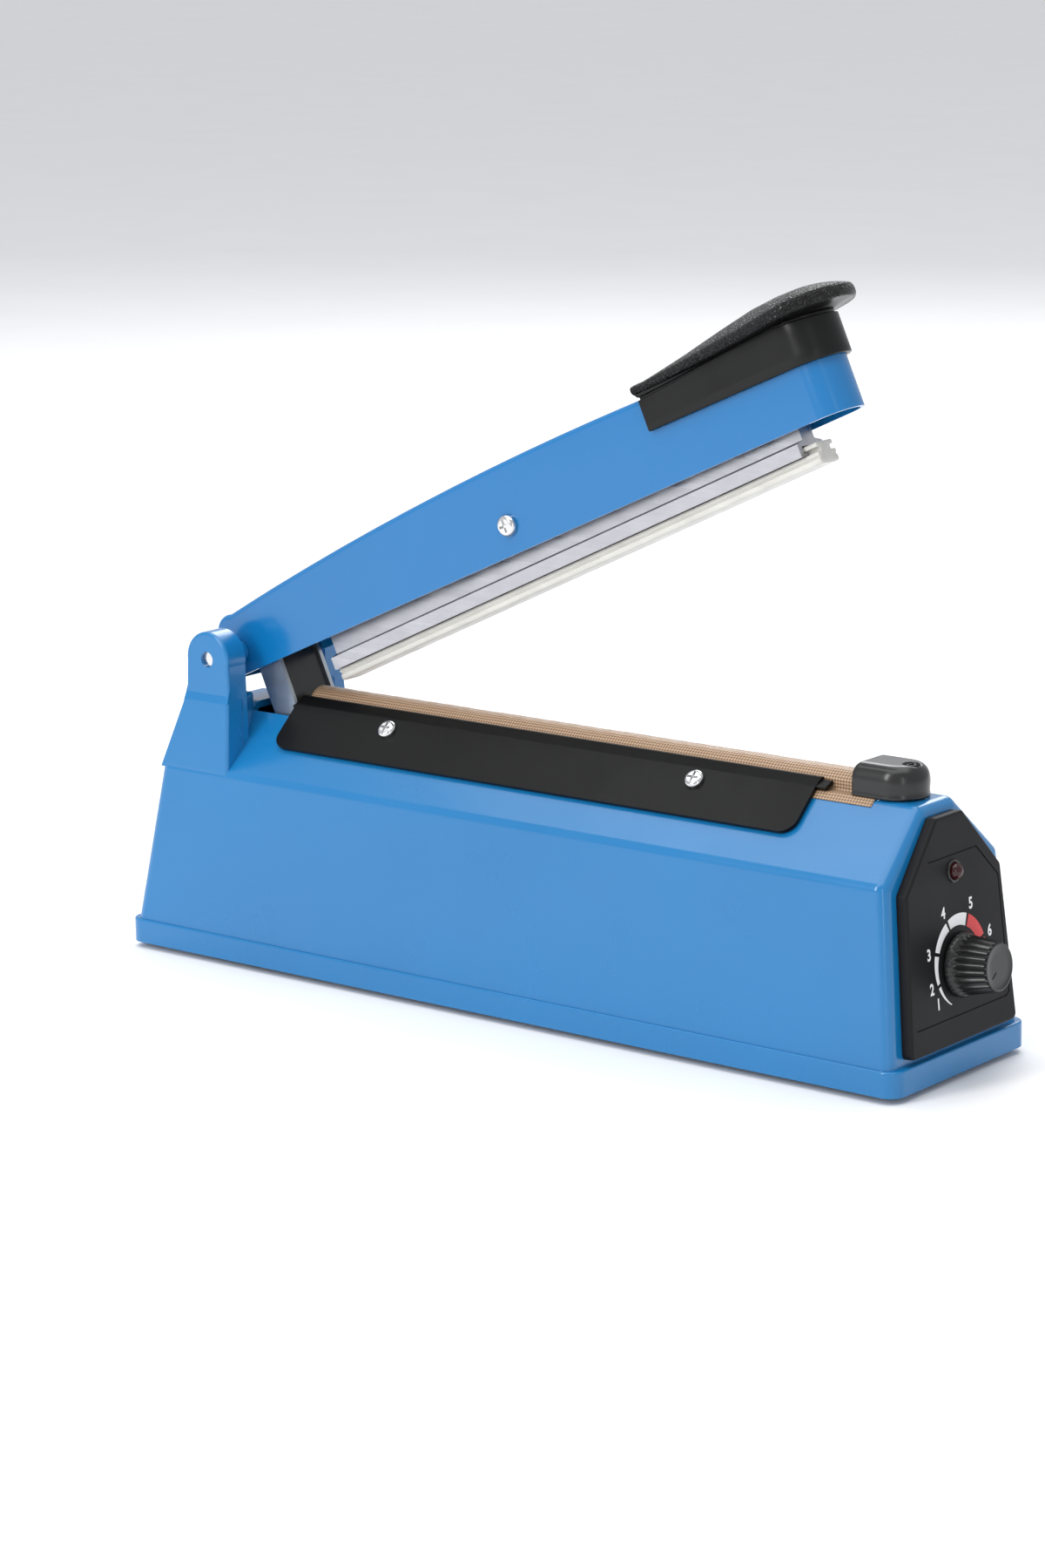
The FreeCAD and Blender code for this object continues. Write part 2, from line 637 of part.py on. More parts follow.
def ptfe_cloth():
    """The coated cloth over the strip: over the crown, down both sides and out on the slopes."""
    top = RIDGE_TOP + CLOTH
    outer = crowned_bar(RIDGE_HALF + 0.25, RIDGE_CROWN + CLOTH, top, TOP_Z, RIDGE_REAR, RIDGE_FRONT)
    inner = crowned_bar(RIDGE_HALF - 0.1, RIDGE_CROWN + 0.1, RIDGE_TOP + 0.1, SLOT_LOW, RIDGE_REAR - 1,
                        RIDGE_FRONT + 1)
    ridge = outer.cut(inner)
    slope_low = slope_point(0, FLAP_DOWN, 0.02)
    slope_high = slope_point(0, FLAP_DOWN, 0.3)
    section = [(-RIDGE_HALF - 0.2, TOP_Z), (-TOP_HALF - 0.1, TOP_Z), (slope_low.y, slope_low.z),
               (slope_high.y, slope_high.z), (-TOP_HALF - 0.1, TOP_Z + 0.3), (-RIDGE_HALF - 0.2, TOP_Z + 0.3)]
    flap = end_prism(section, RIDGE_REAR, FLAP_FRONT)
    return ridge.fuse(flap).fuse(mirror_y(flap))


def clamp_plate():
    """The near clamp plate: a folded strip that lies on the slope and grips the cloth."""
    top_edge = slope_point(0, -0.3, 0.5)
    low_edge = slope_point(0, CLAMP_DOWN, 0.5)
    out = SLOPE_OUT * CLAMP_THICK
    lip = Vector(0, -RIDGE_HALF - 0.35, TOP_Z + 3.6)
    section = [(low_edge.y, low_edge.z), (top_edge.y, top_edge.z), (lip.y, TOP_Z + 1.6), (lip.y, lip.z),
               (lip.y - 1.0, lip.z), ((top_edge + out).y, (top_edge + out).z),
               ((low_edge + out).y, (low_edge + out).z)]
    plate = end_prism(section, CLAMP_REAR, CLAMP_FRONT)
    plate = round_corners(plate, 5.0, lambda e: at_low_corner(e, low_edge.y))
    for x in CLAMP_SCREW_X:
        plate = plate.cut(rod(1.7, slope_point(x, CLAMP_SCREW_DOWN, -1.0), SLOPE_OUT, 5.0))
    tab_low = slope_point(0, -0.2, 0.5)
    tab = [(tab_low.y, tab_low.z), (lip.y, TOP_Z + 1.6), (lip.y, lip.z - 0.8), (lip.y - 1.0, lip.z - 0.8),
           ((tab_low + out).y, (tab_low + out).z)]
    return plate.fuse(end_prism(tab, CLAMP_FRONT - 1, CLAMP_FRONT + 3.4))


def at_low_corner(edge, low_y):
    """True for the short edges across the plate's thickness at its lower corners."""
    bounds = edge.BoundBox
    return bounds.YMax < low_y + 0.5 and bounds.XLength < 0.01 and edge.Length < CLAMP_THICK * 1.5


def clamp_screws():
    """Two pan screws through each clamp plate."""
    near = [pan_screw(slope_point(x, CLAMP_SCREW_DOWN, CLAMP_THICK + 0.51), SLOPE_OUT, *CLAMP_SCREW)
            for x in CLAMP_SCREW_X]
    return Part.makeCompound(near + [mirror_y(s) for s in near])


def terminal_cover():
    """The black cap over the strip's front terminal: faceted, with a round front end."""
    low = TOP_Z + COVER_LIFT
    rise = COVER_HEIGHT - COVER_LIFT
    right = [(COVER_HALF, low), (COVER_HALF, low + rise * COVER_SHOULDER),
             (COVER_HALF * COVER_TOP_SHARE, low + rise)]
    section = right + [(-y, z) for y, z in reversed(right)]
    straight = end_prism(section, COVER_REAR, COVER_CENTRE)
    corners = [(0.0, low)] + right + [(0.0, low + rise)]
    profile = [Vector(COVER_CENTRE, y, z) for y, z in corners]
    half_face = Part.Face(Part.makePolygon(profile + profile[:1]))
    nose = half_face.revolve(Vector(COVER_CENTRE, 0, 0), Z, -180.0)
    cover = straight.fuse(nose).removeSplitter()
    cover = round_corners(cover, 1.6, lambda e: e.BoundBox.ZMin > low + 1.0)
    hollow = box(COVER_REAR - 1, COVER_CENTRE, -COVER_INNER, COVER_INNER, low - 1, low + COVER_ROOM)
    hollow = hollow.fuse(rod(COVER_INNER, Vector(COVER_CENTRE, 0, low - 1), Z, COVER_ROOM + 1.0))
    cover = cover.cut(hollow)
    cover = cover.cut(rod(1.5, Vector(COVER_SCREW_X, 0, low), Z, 20.0))
    return cover.cut(rod(2.0, Vector(COVER_SCREW_X, 0, low + COVER_RECESS), Z, 20.0))


def cover_screw():
    """The screw down through the cover."""
    place = Vector(COVER_SCREW_X, 0, TOP_Z + COVER_LIFT + COVER_RECESS + 0.02)
    return pan_screw(place, Z, *COVER_SCREW)


def front_terminal():
    """The brass post and nut under the cover that hold the strip's front lug."""
    post = rod(1.6, Vector(TERMINAL_X, 0, TOP_Z - 7.0), Z, 13.4)
    base = rod(3.2, Vector(TERMINAL_X, 0, TOP_Z + 0.1), Z, 2.9)
    nut = hex_nut(2.9, 1.61, 1.6, Vector(TERMINAL_X, 0, TOP_Z + 3.75))
    return Part.makeCompound([post.fuse(base), nut])


def hex_nut(across, bore, height, place):
    """A six-sided nut lying flat."""
    corners = [Vector(place.x + across * math.cos(math.radians(60 * k)),
                      place.y + across * math.sin(math.radians(60 * k)), place.z) for k in range(7)]
    return Part.Face(Part.makePolygon(corners)).extrude(Z * height).cut(rod(bore, place, Z, height))


def rear_terminal():
    """The stud behind the ridge that holds the strip's rear lug."""
    lug_face = RIDGE_REAR - 1.05
    stud = rod(1.5, Vector(lug_face - 1.3, 0, LUG_Z), X, 11.0)
    nut = hex_nut(2.7, 1.51, 1.1, Vector(0, 0, 0))
    nut.rotate(Vector(0, 0, 0), Y, 90)
    nut.translate(Vector(lug_face - 1.1, 0, LUG_Z))
    return Part.makeCompound([stud, nut])


# ---------------------------------------------------------------- hinge


def hinge_pin():
    """The steel pin through both ears."""
    length = 2 * (EAR_OUTER - 1.2)
    return rod(PIN_RADIUS, Vector(PIVOT_X, -length / 2, PIVOT_Z), Y, length)


def hinge_spacers():
    """Two nylon sleeves on the pin that centre the arm between the ears."""
    inner = ARM_REAR_HALF + 0.35
    length = EAR_INNER - inner
    near = tube(SPACER_RADIUS, PIN_RADIUS + 0.02, Vector(PIVOT_X, -EAR_INNER, PIVOT_Z), Y, length)
    return Part.makeCompound([near, mirror_y(near)])


def arm_bracket():
    """The zinc plated fork under the arm: two legs and a rear web that reach into the housing."""
    outer = box(BRACKET_REAR - 8.0, BRACKET_FRONT, -BRACKET_HALF, BRACKET_HALF, BRACKET_LOW, BRACKET_TOP)
    inner_half = BRACKET_HALF - BRACKET_SHEET
    outer = outer.cut(box(-50, 50, -inner_half, inner_half, BRACKET_LOW - 1, -22.0))
    outer = outer.cut(box(BRACKET_REAR + BRACKET_SHEET, 50, -inner_half, inner_half, -23.0, 50))
    outer = outer.cut(box(-50, BRACKET_REAR, -inner_half, inner_half, -23.0, 50))
    outer = outer.cut(box(BRACKET_FRONT - BRACKET_STEP, 50, -50, 50, -60, BRACKET_STEP_LEVEL))
    web = box(BRACKET_REAR, BRACKET_REAR + BRACKET_SHEET, -inner_half, inner_half, BRACKET_LOW, -7.0)
    waist = box(-50, BRACKET_REAR, -50, 50, -60, -6.0)
    fork = outer.cut(waist).cut(box(-50, BRACKET_REAR + 2, -inner_half, inner_half, -7.0, 50)).fuse(web)
    fork = fork.cut(rod(PIN_RADIUS + RUNNING_GAP, Vector(0, -20, 0), Y, 40.0))
    return on_arm(fork)


def bracket_block():
    """The black nylon block that fills the fork below the arm."""
    half = BRACKET_HALF - BRACKET_SHEET
    block = box(BRACKET_REAR + BRACKET_SHEET, BRACKET_FRONT - 1.0, -half, half, -22.0, -4.5)
    return on_arm(block)


def spring_hook():
    """The cross pin at the foot of the fork that the return spring hooks on."""
    half = BRACKET_HALF - BRACKET_SHEET
    return on_arm(rod(1.3, Vector(HOOK_ALONG, -half, HOOK_LEVEL), Y, 2 * half))


def arm_point(along, up):
    """The place on the machine of a point on the open arm."""
    turn = math.radians(OPEN_ANGLE)
    x = PIVOT_X + along * math.cos(turn) - up * math.sin(turn)
    z = PIVOT_Z + along * math.sin(turn) + up * math.cos(turn)
    return Vector(x, 0, z)


def return_spring():
    """The tension spring that pulls the fork forwards and so lifts the arm."""
    hook = arm_point(HOOK_ALONG, HOOK_LEVEL)
    line = SPRING_POST - hook
    reach = line.Length
    line.normalize()
    coil_length = reach - 2 * SPRING_END
    pitch = coil_length / SPRING_TURNS
    helix = Part.makeHelix(pitch, coil_length, SPRING_RADIUS)
    ring = Part.Wire(Part.makeCircle(SPRING_WIRE, Vector(SPRING_RADIUS, 0, 0), Vector(0, 1, 0)))
    coil = Part.Wire(helix).makePipeShell([ring], True, True)
    first = rod(SPRING_WIRE, Vector(0, 0, -5.9), Z, 6.1)
    last = rod(SPRING_WIRE, Vector(0, 0, coil_length - 0.2), Z, 6.1)
    bar_low = rod(SPRING_WIRE, Vector(0, 0, 0), X, SPRING_RADIUS)
    bar_high = rod(SPRING_WIRE, Vector(0, 0, coil_length), X, SPRING_RADIUS)
    eye_low = Part.makeTorus(SPRING_EYE, SPRING_WIRE, Vector(0, 0, -SPRING_END), Y)
    eye_high = Part.makeTorus(SPRING_EYE, SPRING_WIRE, Vector(0, 0, coil_length + SPRING_END), Y)
    spring = coil.fuse([first, last, bar_low, bar_high, eye_low, eye_high])
    turn = FreeCAD.Rotation(Z, line)
    spring.Placement = FreeCAD.Placement(hook + line * SPRING_END, turn)
    return spring


def spring_post():
    """The steel post on the base plate that holds the spring's other end."""
    low = PLATE_Z + PLATE_THICK
    post = box(SPRING_POST.x - 1.0, SPRING_POST.x + 1.0, 5.0, 12.0, low, SPRING_POST.z + 4.0)
    foot = box(SPRING_POST.x - 1.0, SPRING_POST.x + 12.0, 10.0, 22.0, low, low + 1.5)
    pin = rod(1.3, SPRING_POST + Vector(0, -4.0, 0), Y, 12.0)
    return post.fuse(foot).fuse(pin)


# ---------------------------------------------------------------- micro switch


def micro_switch():
    """The switch that the fork presses when the jaws close."""
    case = box(SWITCH_FACE - SWITCH_DEPTH, SWITCH_FACE, -SWITCH_HALF, SWITCH_HALF, SWITCH_Z - SWITCH_THICK,
               SWITCH_Z + SWITCH_THICK)
    case = round_corners(case, 0.6, lambda e: e.BoundBox.ZLength > 5.0)
    for y in (-SWITCH_HOLE_Y, SWITCH_HOLE_Y):
        case = case.cut(rod(1.2, Vector(SWITCH_FACE - SWITCH_HOLE_X, y, SWITCH_Z - 5.0), Z, 12.0))
    case = case.cut(rod(1.25, Vector(SWITCH_FACE - 3.0, 0, SWITCH_Z), X, 5.0))
    legs = [box(SWITCH_FACE - 14.0, SWITCH_FACE - 9.9, y - 1.0, y + 1.0, SWITCH_Z - 0.3, SWITCH_Z + 0.3)
            for y in (-8.0, 0.0, 8.0)]
    return case.fuse(legs)


def switch_plunger():
    """The switch's button."""
    start = SWITCH_FACE - 1.6
    plunger = rod(1.2, Vector(start, 0, SWITCH_Z), X, PLUNGER_TIP - start)
    return round_corners(plunger, 0.5, lambda e: e.BoundBox.XMin > PLUNGER_TIP - 0.1)


def switch_bracket():
    """The folded plate that carries the switch from the base plate."""
    low = PLATE_Z + PLATE_THICK
    shelf_top = SWITCH_Z - SWITCH_THICK
    wall = box(SWITCH_FACE - 12.0, SWITCH_FACE - 10.8, -11.0, 11.0, low, shelf_top)
    shelf = box(SWITCH_FACE - 12.0, SWITCH_FACE - 1.0, -11.0, 11.0, shelf_top - 1.2, shelf_top)
    foot = box(SWITCH_FACE - 12.0, SWITCH_FACE - 2.0, -11.0, 11.0, low, low + 1.2)
    for y in (-SWITCH_HOLE_Y, SWITCH_HOLE_Y):
        shelf = shelf.cut(rod(1.2, Vector(SWITCH_FACE - SWITCH_HOLE_X, y, shelf_top - 3.0), Z, 8.0))
    return wall.fuse([shelf, foot])


def switch_screws():
    """Two small screws through the switch."""
    top = SWITCH_Z + SWITCH_THICK
    return Part.makeCompound([pan_screw(Vector(SWITCH_FACE - SWITCH_HOLE_X, y, top), Z, *SWITCH_SCREW)
                              for y in (-SWITCH_HOLE_Y, SWITCH_HOLE_Y)])


# ---------------------------------------------------------------- transformer


def transformer_core():
    """The stack of laminations, with a window each side of the middle limb."""
    stack = box(CORE_REAR, CORE_FRONT, -CORE_HALF, CORE_HALF, CORE_Z, CORE_Z + CORE_HEIGHT)
    for x in (CORE_REAR + LIMB, CORE_FRONT - 2 * LIMB):
        stack = stack.cut(box(x, x + LIMB, -CORE_HALF - 1.0, CORE_HALF + 1.0, CORE_Z + LIMB,
                              CORE_Z + CORE_HEIGHT - LIMB))
    return stack


def transformer_bobbin():
    """The plastic bobbin round the middle limb."""
    middle = (CORE_REAR + CORE_FRONT) / 2
    z0 = CORE_Z + LIMB + 0.2
    z1 = CORE_Z + CORE_HEIGHT - LIMB - 0.2
    sleeve = box(middle - 9.2, middle + 9.2, -10.2, 10.2, z0, z1)
    cheeks = [box(middle - 15.8, middle + 15.8, -17.5, 17.5, z, z + 1.5) for z in (z0, z1 - 1.5)]
    limb = box(middle - 8.05, middle + 8.05, -9.05, 9.05, z0 - 1, z1 + 1)
    return sleeve.fuse(cheeks).cut(limb)


def transformer_winding():
    """The copper winding with its wrap."""
    middle = (CORE_REAR + CORE_FRONT) / 2
    z0 = CORE_Z + LIMB + 1.8
    z1 = CORE_Z + CORE_HEIGHT - LIMB - 1.8
    coil = box(middle - 15.2, middle + 15.2, -16.5, 16.5, z0, z1)
    coil = round_corners(coil, 3.0, lambda e: e.BoundBox.ZLength > 10.0)
    return coil.cut(box(middle - 9.25, middle + 9.25, -10.25, 10.25, z0 - 1, z1 + 1))


def transformer_bracket():
    """The strap that holds the transformer down."""
    low = PLATE_Z + PLATE_THICK
    outer = box(CORE_REAR - 1.3, CORE_FRONT + 1.3, -CORE_HALF, CORE_HALF, low, CORE_Z + CORE_HEIGHT + 1.3)
    outer = outer.cut(box(CORE_REAR - 0.05, CORE_FRONT + 0.05, -10.0, 10.0, low - 1,
                          CORE_Z + CORE_HEIGHT + 0.05))
    for x0, x1 in ((CORE_REAR - 11.0, CORE_REAR - 0.1), (CORE_FRONT + 0.1, CORE_FRONT + 11.0)):
        foot = box(x0, x1, -CORE_HALF, CORE_HALF, low, low + 1.2)
        foot = foot.cut(rod(1.8, Vector((x0 + x1) / 2, 0, low - 1), Z, 4.0))
        outer = outer.fuse(foot)
    return outer


def transformer_screws():
    """Two screws that hold the strap to the base plate."""
    low = PLATE_Z + PLATE_THICK + 1.2
    return Part.makeCompound([pan_screw(Vector(x, 0, low), Z, *TRANSFORMER_SCREW)
                              for x in TRANSFORMER_SCREW_X])


# ---------------------------------------------------------------- control end


def panel_outline():
    """The panel's six corners, as (y, height above the dial along the leaning face)."""
    corners = [(-PANEL_HALF_LOW, (PANEL_Z_LOW - DIAL_Z) * PANEL_SLANT),
               (-PANEL_HALF_SHOULDER, (PANEL_Z_SHOULDER - DIAL_Z) * PANEL_SLANT),
               (-PANEL_HALF_TOP, (PANEL_Z_TOP - DIAL_Z) * PANEL_SLANT)]
    return corners + [(-y, z) for y, z in reversed(corners)]


def control_panel():
    """The black front panel with bevelled edges, an engraved line and holes for knob and lamp."""
    back = end_prism(panel_outline(), -PANEL_THICK, 0.0)
    plate = round_corners(back, 2.0, lambda e: abs(e.BoundBox.XLength - PANEL_THICK) < 0.1)
    plate = round_corners(plate, 1.0, lambda e: e.BoundBox.XMin > -0.05)
    groove = engraved_line()
    plate = plate.cut(groove)
    plate = plate.cut(rod(3.7, Vector(-10, 0, 0), X, 20.0))
    led_up = (LED_Z - DIAL_Z) * PANEL_SLANT
    plate = plate.cut(rod(LAMP_RADIUS + 0.1, Vector(-10, 0, led_up), X, 20.0))
    return on_panel(plate)


def engraved_line():
    """The line engraved over, beside and under the dial, as one thin cut in the panel's face."""
    width = LINE_WIDTH
    strokes = []
    for (y0, z0), (y1, z1) in zip(LINE_ROUTE, LINE_ROUTE[1:]):
        length = math.hypot(y1 - y0, z1 - z0)
        stroke = box(-0.3, 1.0, -width / 2, length + width / 2, -width / 2, width / 2)
        stroke.rotate(Vector(0, 0, 0), X, math.degrees(math.atan2(z1 - z0, y1 - y0)))
        stroke.translate(Vector(0, y0, z0))
        strokes.append(stroke)
    return strokes[0].fuse(strokes[1:])


def timer_knob():
    """The fluted knob with its skirt, pointer line and shaft hole."""
    skirt = Part.makeCone(KNOB_BASE, KNOB_BASE - 0.5, 2.0, Vector(0.6, 0, 0), X)
    grip = Part.makeCone(KNOB_BASE - 1.3, KNOB_TIP, KNOB_LENGTH - 2.6, Vector(2.6, 0, 0), X)
    knob = skirt.fuse(grip)
    knob = round_corners(knob, 0.7, lambda e: e.BoundBox.XMin > KNOB_LENGTH - 0.1)
    for k in range(FLUTES):
        angle = math.radians(360.0 / FLUTES * k)
        place = Vector(2.6, (KNOB_BASE - 1.0) * math.cos(angle), (KNOB_BASE - 1.0) * math.sin(angle))
        lean = Vector(KNOB_LENGTH, (KNOB_TIP + 0.3) * math.cos(angle), (KNOB_TIP + 0.3) * math.sin(angle))
        groove = rod(FLUTE_RADIUS, place, lean - place, KNOB_LENGTH)
        knob = knob.cut(groove)
    knob = knob.cut(rod(SHAFT_RADIUS, Vector(-1, 0, 0), X, KNOB_LENGTH - 1.5))
    pointer = box(KNOB_LENGTH - 0.4, KNOB_LENGTH + 1, KNOB_TIP * 0.35, KNOB_TIP * 0.95, -0.35, 0.35)
    pointer.rotate(Vector(0, 0, 0), X, POINTER_REST)
    return on_panel(knob.cut(pointer))


def knob_shaft():
    """The control's shaft."""
    return on_panel(rod(SHAFT_RADIUS, Vector(-12.0, 0, 0), X, 12.0 + KNOB_LENGTH - 2.6))


def timer_control():
    """The variable resistor behind the panel, with the threaded neck that the shaft turns in."""
    can = rod(CONTROL_RADIUS, Vector(-21.0, 0, 0), X, 8.0)
    neck = rod(3.6, Vector(-13.1, 0, 0), X, 12.6)
    tabs = [box(-19.0, -18.4, y - 0.8, y + 0.8, -14.0, -6.0) for y in (-5.0, 0.0, 5.0)]
    body = can.fuse(neck).fuse(tabs)
    return on_panel(body.cut(rod(SHAFT_RADIUS + RUNNING_GAP, Vector(-12.6, 0, 0), X, 20.0)))


def indicator_lamp():
    """The small red lamp with its flange and two wires."""
    bulb = rod(LAMP_RADIUS, Vector(-6.0, 0, 0), X, 6.4)
    dome = Part.makeSphere(LAMP_RADIUS, Vector(0.4, 0, 0))
    rim = rod(2.9, Vector(-7.0, 0, 0), X, 1.0)
    legs = [rod(0.3, Vector(-17.0, y, 0), X, 10.2) for y in (-1.27, 1.27)]
    return on_panel(bulb.fuse([dome, rim] + legs), LED_Z)


def timer_board():
    """The printed circuit board of the timer."""
    board = box(BOARD_BACK, BOARD_FACE, -BOARD_HALF, BOARD_HALF, BOARD_LOW, BOARD_HIGH)
    for y in (-BOARD_POST_Y, BOARD_POST_Y):
        board = board.cut(rod(1.6, Vector(-24, y, BOARD_POST_UP), X, 6.0))
    return on_panel(board)


def board_capacitors():
    """Two upright capacitors on the back of the board."""
    cans = []
    for y, up, radius, length in CAPACITORS:
        can = rod(radius, Vector(BOARD_BACK - length, y, up), X, length)
        cans.append(round_corners(can, 0.6, lambda e: e.Closed))
    return on_panel(Part.makeCompound(cans))


def board_relay():
    """The sealed relay that switches the transformer."""
    relay = box(RELAY_BACK, BOARD_BACK, -RELAY_HALF, RELAY_HALF, RELAY_LOW, RELAY_HIGH)
    return on_panel(round_corners(relay, 0.8, lambda e: True))


def board_posts():
    """Two pillars that hold the board off the front wall."""
    posts = [tube(3.0, 1.2, Vector(BOARD_FACE, y, BOARD_POST_UP), X, 21.1 - PANEL_THICK - WALL)
             for y in (-BOARD_POST_Y, BOARD_POST_Y)]
    return on_panel(Part.makeCompound(posts))


def cord_grommet():
    """The rubber bush in the rear wall that the mains cord is led through."""
    rear_lean = (REAR_CREASE_X - REAR_FOOT_X) / (CREASE_Z - FLANGE_HEIGHT)
    wall_x = REAR_FOOT_X + (INLET_Z - FLANGE_HEIGHT) * rear_lean
    start = wall_x - 4.0
    neck = tube(INLET_OUTER - 1.3, INLET_BORE, Vector(start, 0, INLET_Z), X, INLET_LENGTH)
    ring_out = tube(INLET_OUTER + 1.0, INLET_BORE, Vector(start, 0, INLET_Z), X, 2.6)
    ring_in = tube(INLET_OUTER + 1.0, INLET_BORE, Vector(start + 8.4, 0, INLET_Z), X, 2.4)
    return neck.fuse(ring_out).fuse(ring_in).cut(rod(INLET_BORE, Vector(start - 1, 0, INLET_Z), X, 20.0))


def terminal_block():
    """The screw block inside that joins the mains cord to the machine's own wires."""
    low = PLATE_Z + PLATE_THICK
    block = box(TERMINAL_REAR, TERMINAL_REAR + 16.0, -14.0, 14.0, low, low + 12.0)
    for y in TERMINAL_Y:
        block = block.cut(rod(2.0, Vector(TERMINAL_REAR + 5.0, y, low + 8.0), Z, 6.0))
        block = block.cut(rod(2.0, Vector(TERMINAL_REAR + 11.0, y, low + 8.0), Z, 6.0))
    return block


def inner_wires():
    """The fixed wires: block to transformer, transformer to board, and up to the strip's ends."""
    block_top = PLATE_Z + PLATE_THICK + 6.0
    winding = CORE_Z + 20.0
    near = -18.0
    far = 18.0
    to_transformer = bent_tube([(-83.7, -9.0, block_top), (-70.0, -11.0, block_top), (-52.0, -14.0, 12.0),
                                (-34.0, near - 1.5, 18.0), (-16.0, near - 1.5, winding - 2.0),
                                (0.0, near, winding)], WIRE_RADIUS)
    to_board = bent_tube([(20.0, near, winding), (36.0, near - 2.0, winding), (56.0, -21.0, 18.0),
                          (76.0, -20.0, 18.0), (94.0, -16.0, 22.0), (108.0, -13.0, 27.0)], WIRE_RADIUS)
    to_front = bent_tube([(20.0, far, winding), (36.0, far + 1.0, winding + 4.0), (54.0, far, 42.0),
                          (72.0, 17.0, 54.0), (92.0, 12.0, 60.0), (108.0, 6.0, 62.0),
                          (119.0, 1.0, 65.0), (TERMINAL_X, 0.0, 71.6)], WIRE_RADIUS)
    to_rear = bent_tube([(0.0, far, winding), (-16.0, far + 1.5, winding + 4.0), (-34.0, far + 1.0, 40.0),
                         (-52.0, 16.0, 52.0), (-68.0, 11.0, 60.0), (-80.0, 8.0, 66.0),
                         (-86.0, 6.2, 72.0)], WIRE_RADIUS)
    return Part.makeCompound([to_transformer, to_board, to_front, to_rear])


# ---------------------------------------------------------------- arm


def arm_top(along):
    """Height of the arm's curved back: a parabola through its rear, middle and nose heights."""
    middle = 110.0
    nose = 250.5
    rise_rear = (ARM_TOP_MIDDLE - ARM_TOP_REAR) / middle
    rise_nose = (ARM_TOP_NOSE - ARM_TOP_MIDDLE) / (nose - middle)
    bow = (rise_nose - rise_rear) / nose
    return ARM_TOP_REAR + rise_rear * along + bow * along * (along - middle)


def arm_solid(inset):
    """The arm's outer form, or its hollow when the inset is the wall."""
    top = -inset
    low = ARM_BOTTOM - (1.0 if inset else 0.0)
    rear = ARM_REAR + inset
    nose = ARM_NOSE_CENTRE + ARM_NOSE_HALF + 1.0
    start = Vector(rear, -20, arm_top(0.0) + top - 5.0)
    bend = Vector(rear + 1.5, -20, arm_top(0.0) + top - 1.6)
    on_top = [Vector(s, -20, arm_top(s) + top) for s in (0.5, 60.0, 120.0, 180.0, nose)]
    back = Part.BSplineCurve()
    back.interpolate(on_top)
    edges = [Part.LineSegment(Vector(rear, -20, low), start).toShape(),
             Part.Arc(start, bend, on_top[0]).toShape(),
             back.toShape(),
             Part.LineSegment(on_top[-1], Vector(nose, -20, low)).toShape(),
             Part.LineSegment(Vector(nose, -20, low), Vector(rear, -20, low)).toShape()]
    side = Part.Face(Part.Wire(edges)).extrude(Vector(0, 40, 0))
    wide = ARM_REAR_HALF - inset
    slim = ARM_NOSE_HALF - inset
    plan = [Vector(rear - 1, -wide, -30), Vector(ARM_TAPER_START, -wide, -30),
            Vector(ARM_NOSE_CENTRE, -slim, -30)]
    far = [Vector(p.x, -p.y, p.z) for p in reversed(plan)]
    tip = Vector(ARM_NOSE_CENTRE + slim, 0, -30)
    edges = [Part.LineSegment(a, b).toShape() for a, b in zip(plan, plan[1:])]
    edges.append(Part.Arc(plan[-1], tip, far[0]).toShape())
    edges += [Part.LineSegment(a, b).toShape() for a, b in zip(far, far[1:])]
    edges.append(Part.LineSegment(far[-1], plan[0]).toShape())
    return side.common(Part.Face(Part.Wire(edges)).extrude(Vector(0, 0, 80)))


def arm_channel():
    """The blue arm: a channel open below, with a round nose and a bowed back."""
    outer = arm_solid(0.0)
    outer = round_corners(outer, 1.6, on_arm_back)
    shell = outer.cut(arm_solid(ARM_WALL))
    shell = shell.cut(rod(PIN_RADIUS + RUNNING_GAP, Vector(0, -20, 0), Y, 40.0))
    place = Vector(SCREW_ALONG, -20, SCREW_UP)
    shell = shell.cut(rod(2.6, place, Y, 40.0))
    for s in PAD_SCREW_ALONG:
        shell = shell.cut(rod(1.8, Vector(s, 0, 0), Z, 40.0))
    return on_arm(shell)


def on_arm_back(edge):
    """True for the rim between the arm's back and its sides."""
    middle = edge.CenterOfMass
    return edge.BoundBox.ZMin > 5.0 and abs(middle.y) > 5.0 and edge.BoundBox.XLength > 2.0


def handle_pad():
    """The black grip: a skirt round the arm's front end under a drop-shaped crowned plate."""
    skirt = wrap(SKIRT_WALL, SKIRT_BOTTOM - 1.0, 40.0).common(pad_slab(SKIRT_LINE))
    rear_half = ARM_NOSE_HALF + 2.6
    plan = [Vector(PAD_REAR, -rear_half, 0), Vector(PAD_REACH - 12.0, -PAD_HALF + 0.7, 0),
            Vector(PAD_REACH, -PAD_HALF, 0)]
    far = [Vector(p.x, -p.y, 0) for p in reversed(plan)]
    edges = [Part.LineSegment(a, b).toShape() for a, b in zip(plan, plan[1:])]
    edges.append(Part.Arc(plan[-1], Vector(PAD_REACH + PAD_HALF, 0, 0), far[0]).toShape())
    edges += [Part.LineSegment(a, b).toShape() for a, b in zip(far, far[1:])]
    edges.append(Part.LineSegment(far[-1], plan[0]).toShape())
    drop = Part.Face(Part.Wire(edges)).extrude(Vector(0, 0, 60))
    plate = drop.common(pad_slab(LIP_LINE))
    pad = skirt.fuse(plate).cut(arm_solid(-SKIRT_GAP))
    for s in PAD_SCREW_ALONG:
        pad = pad.cut(rod(1.2, Vector(s, 0, 0), Z, arm_top(s) + 5.0))
    return on_arm(pad)


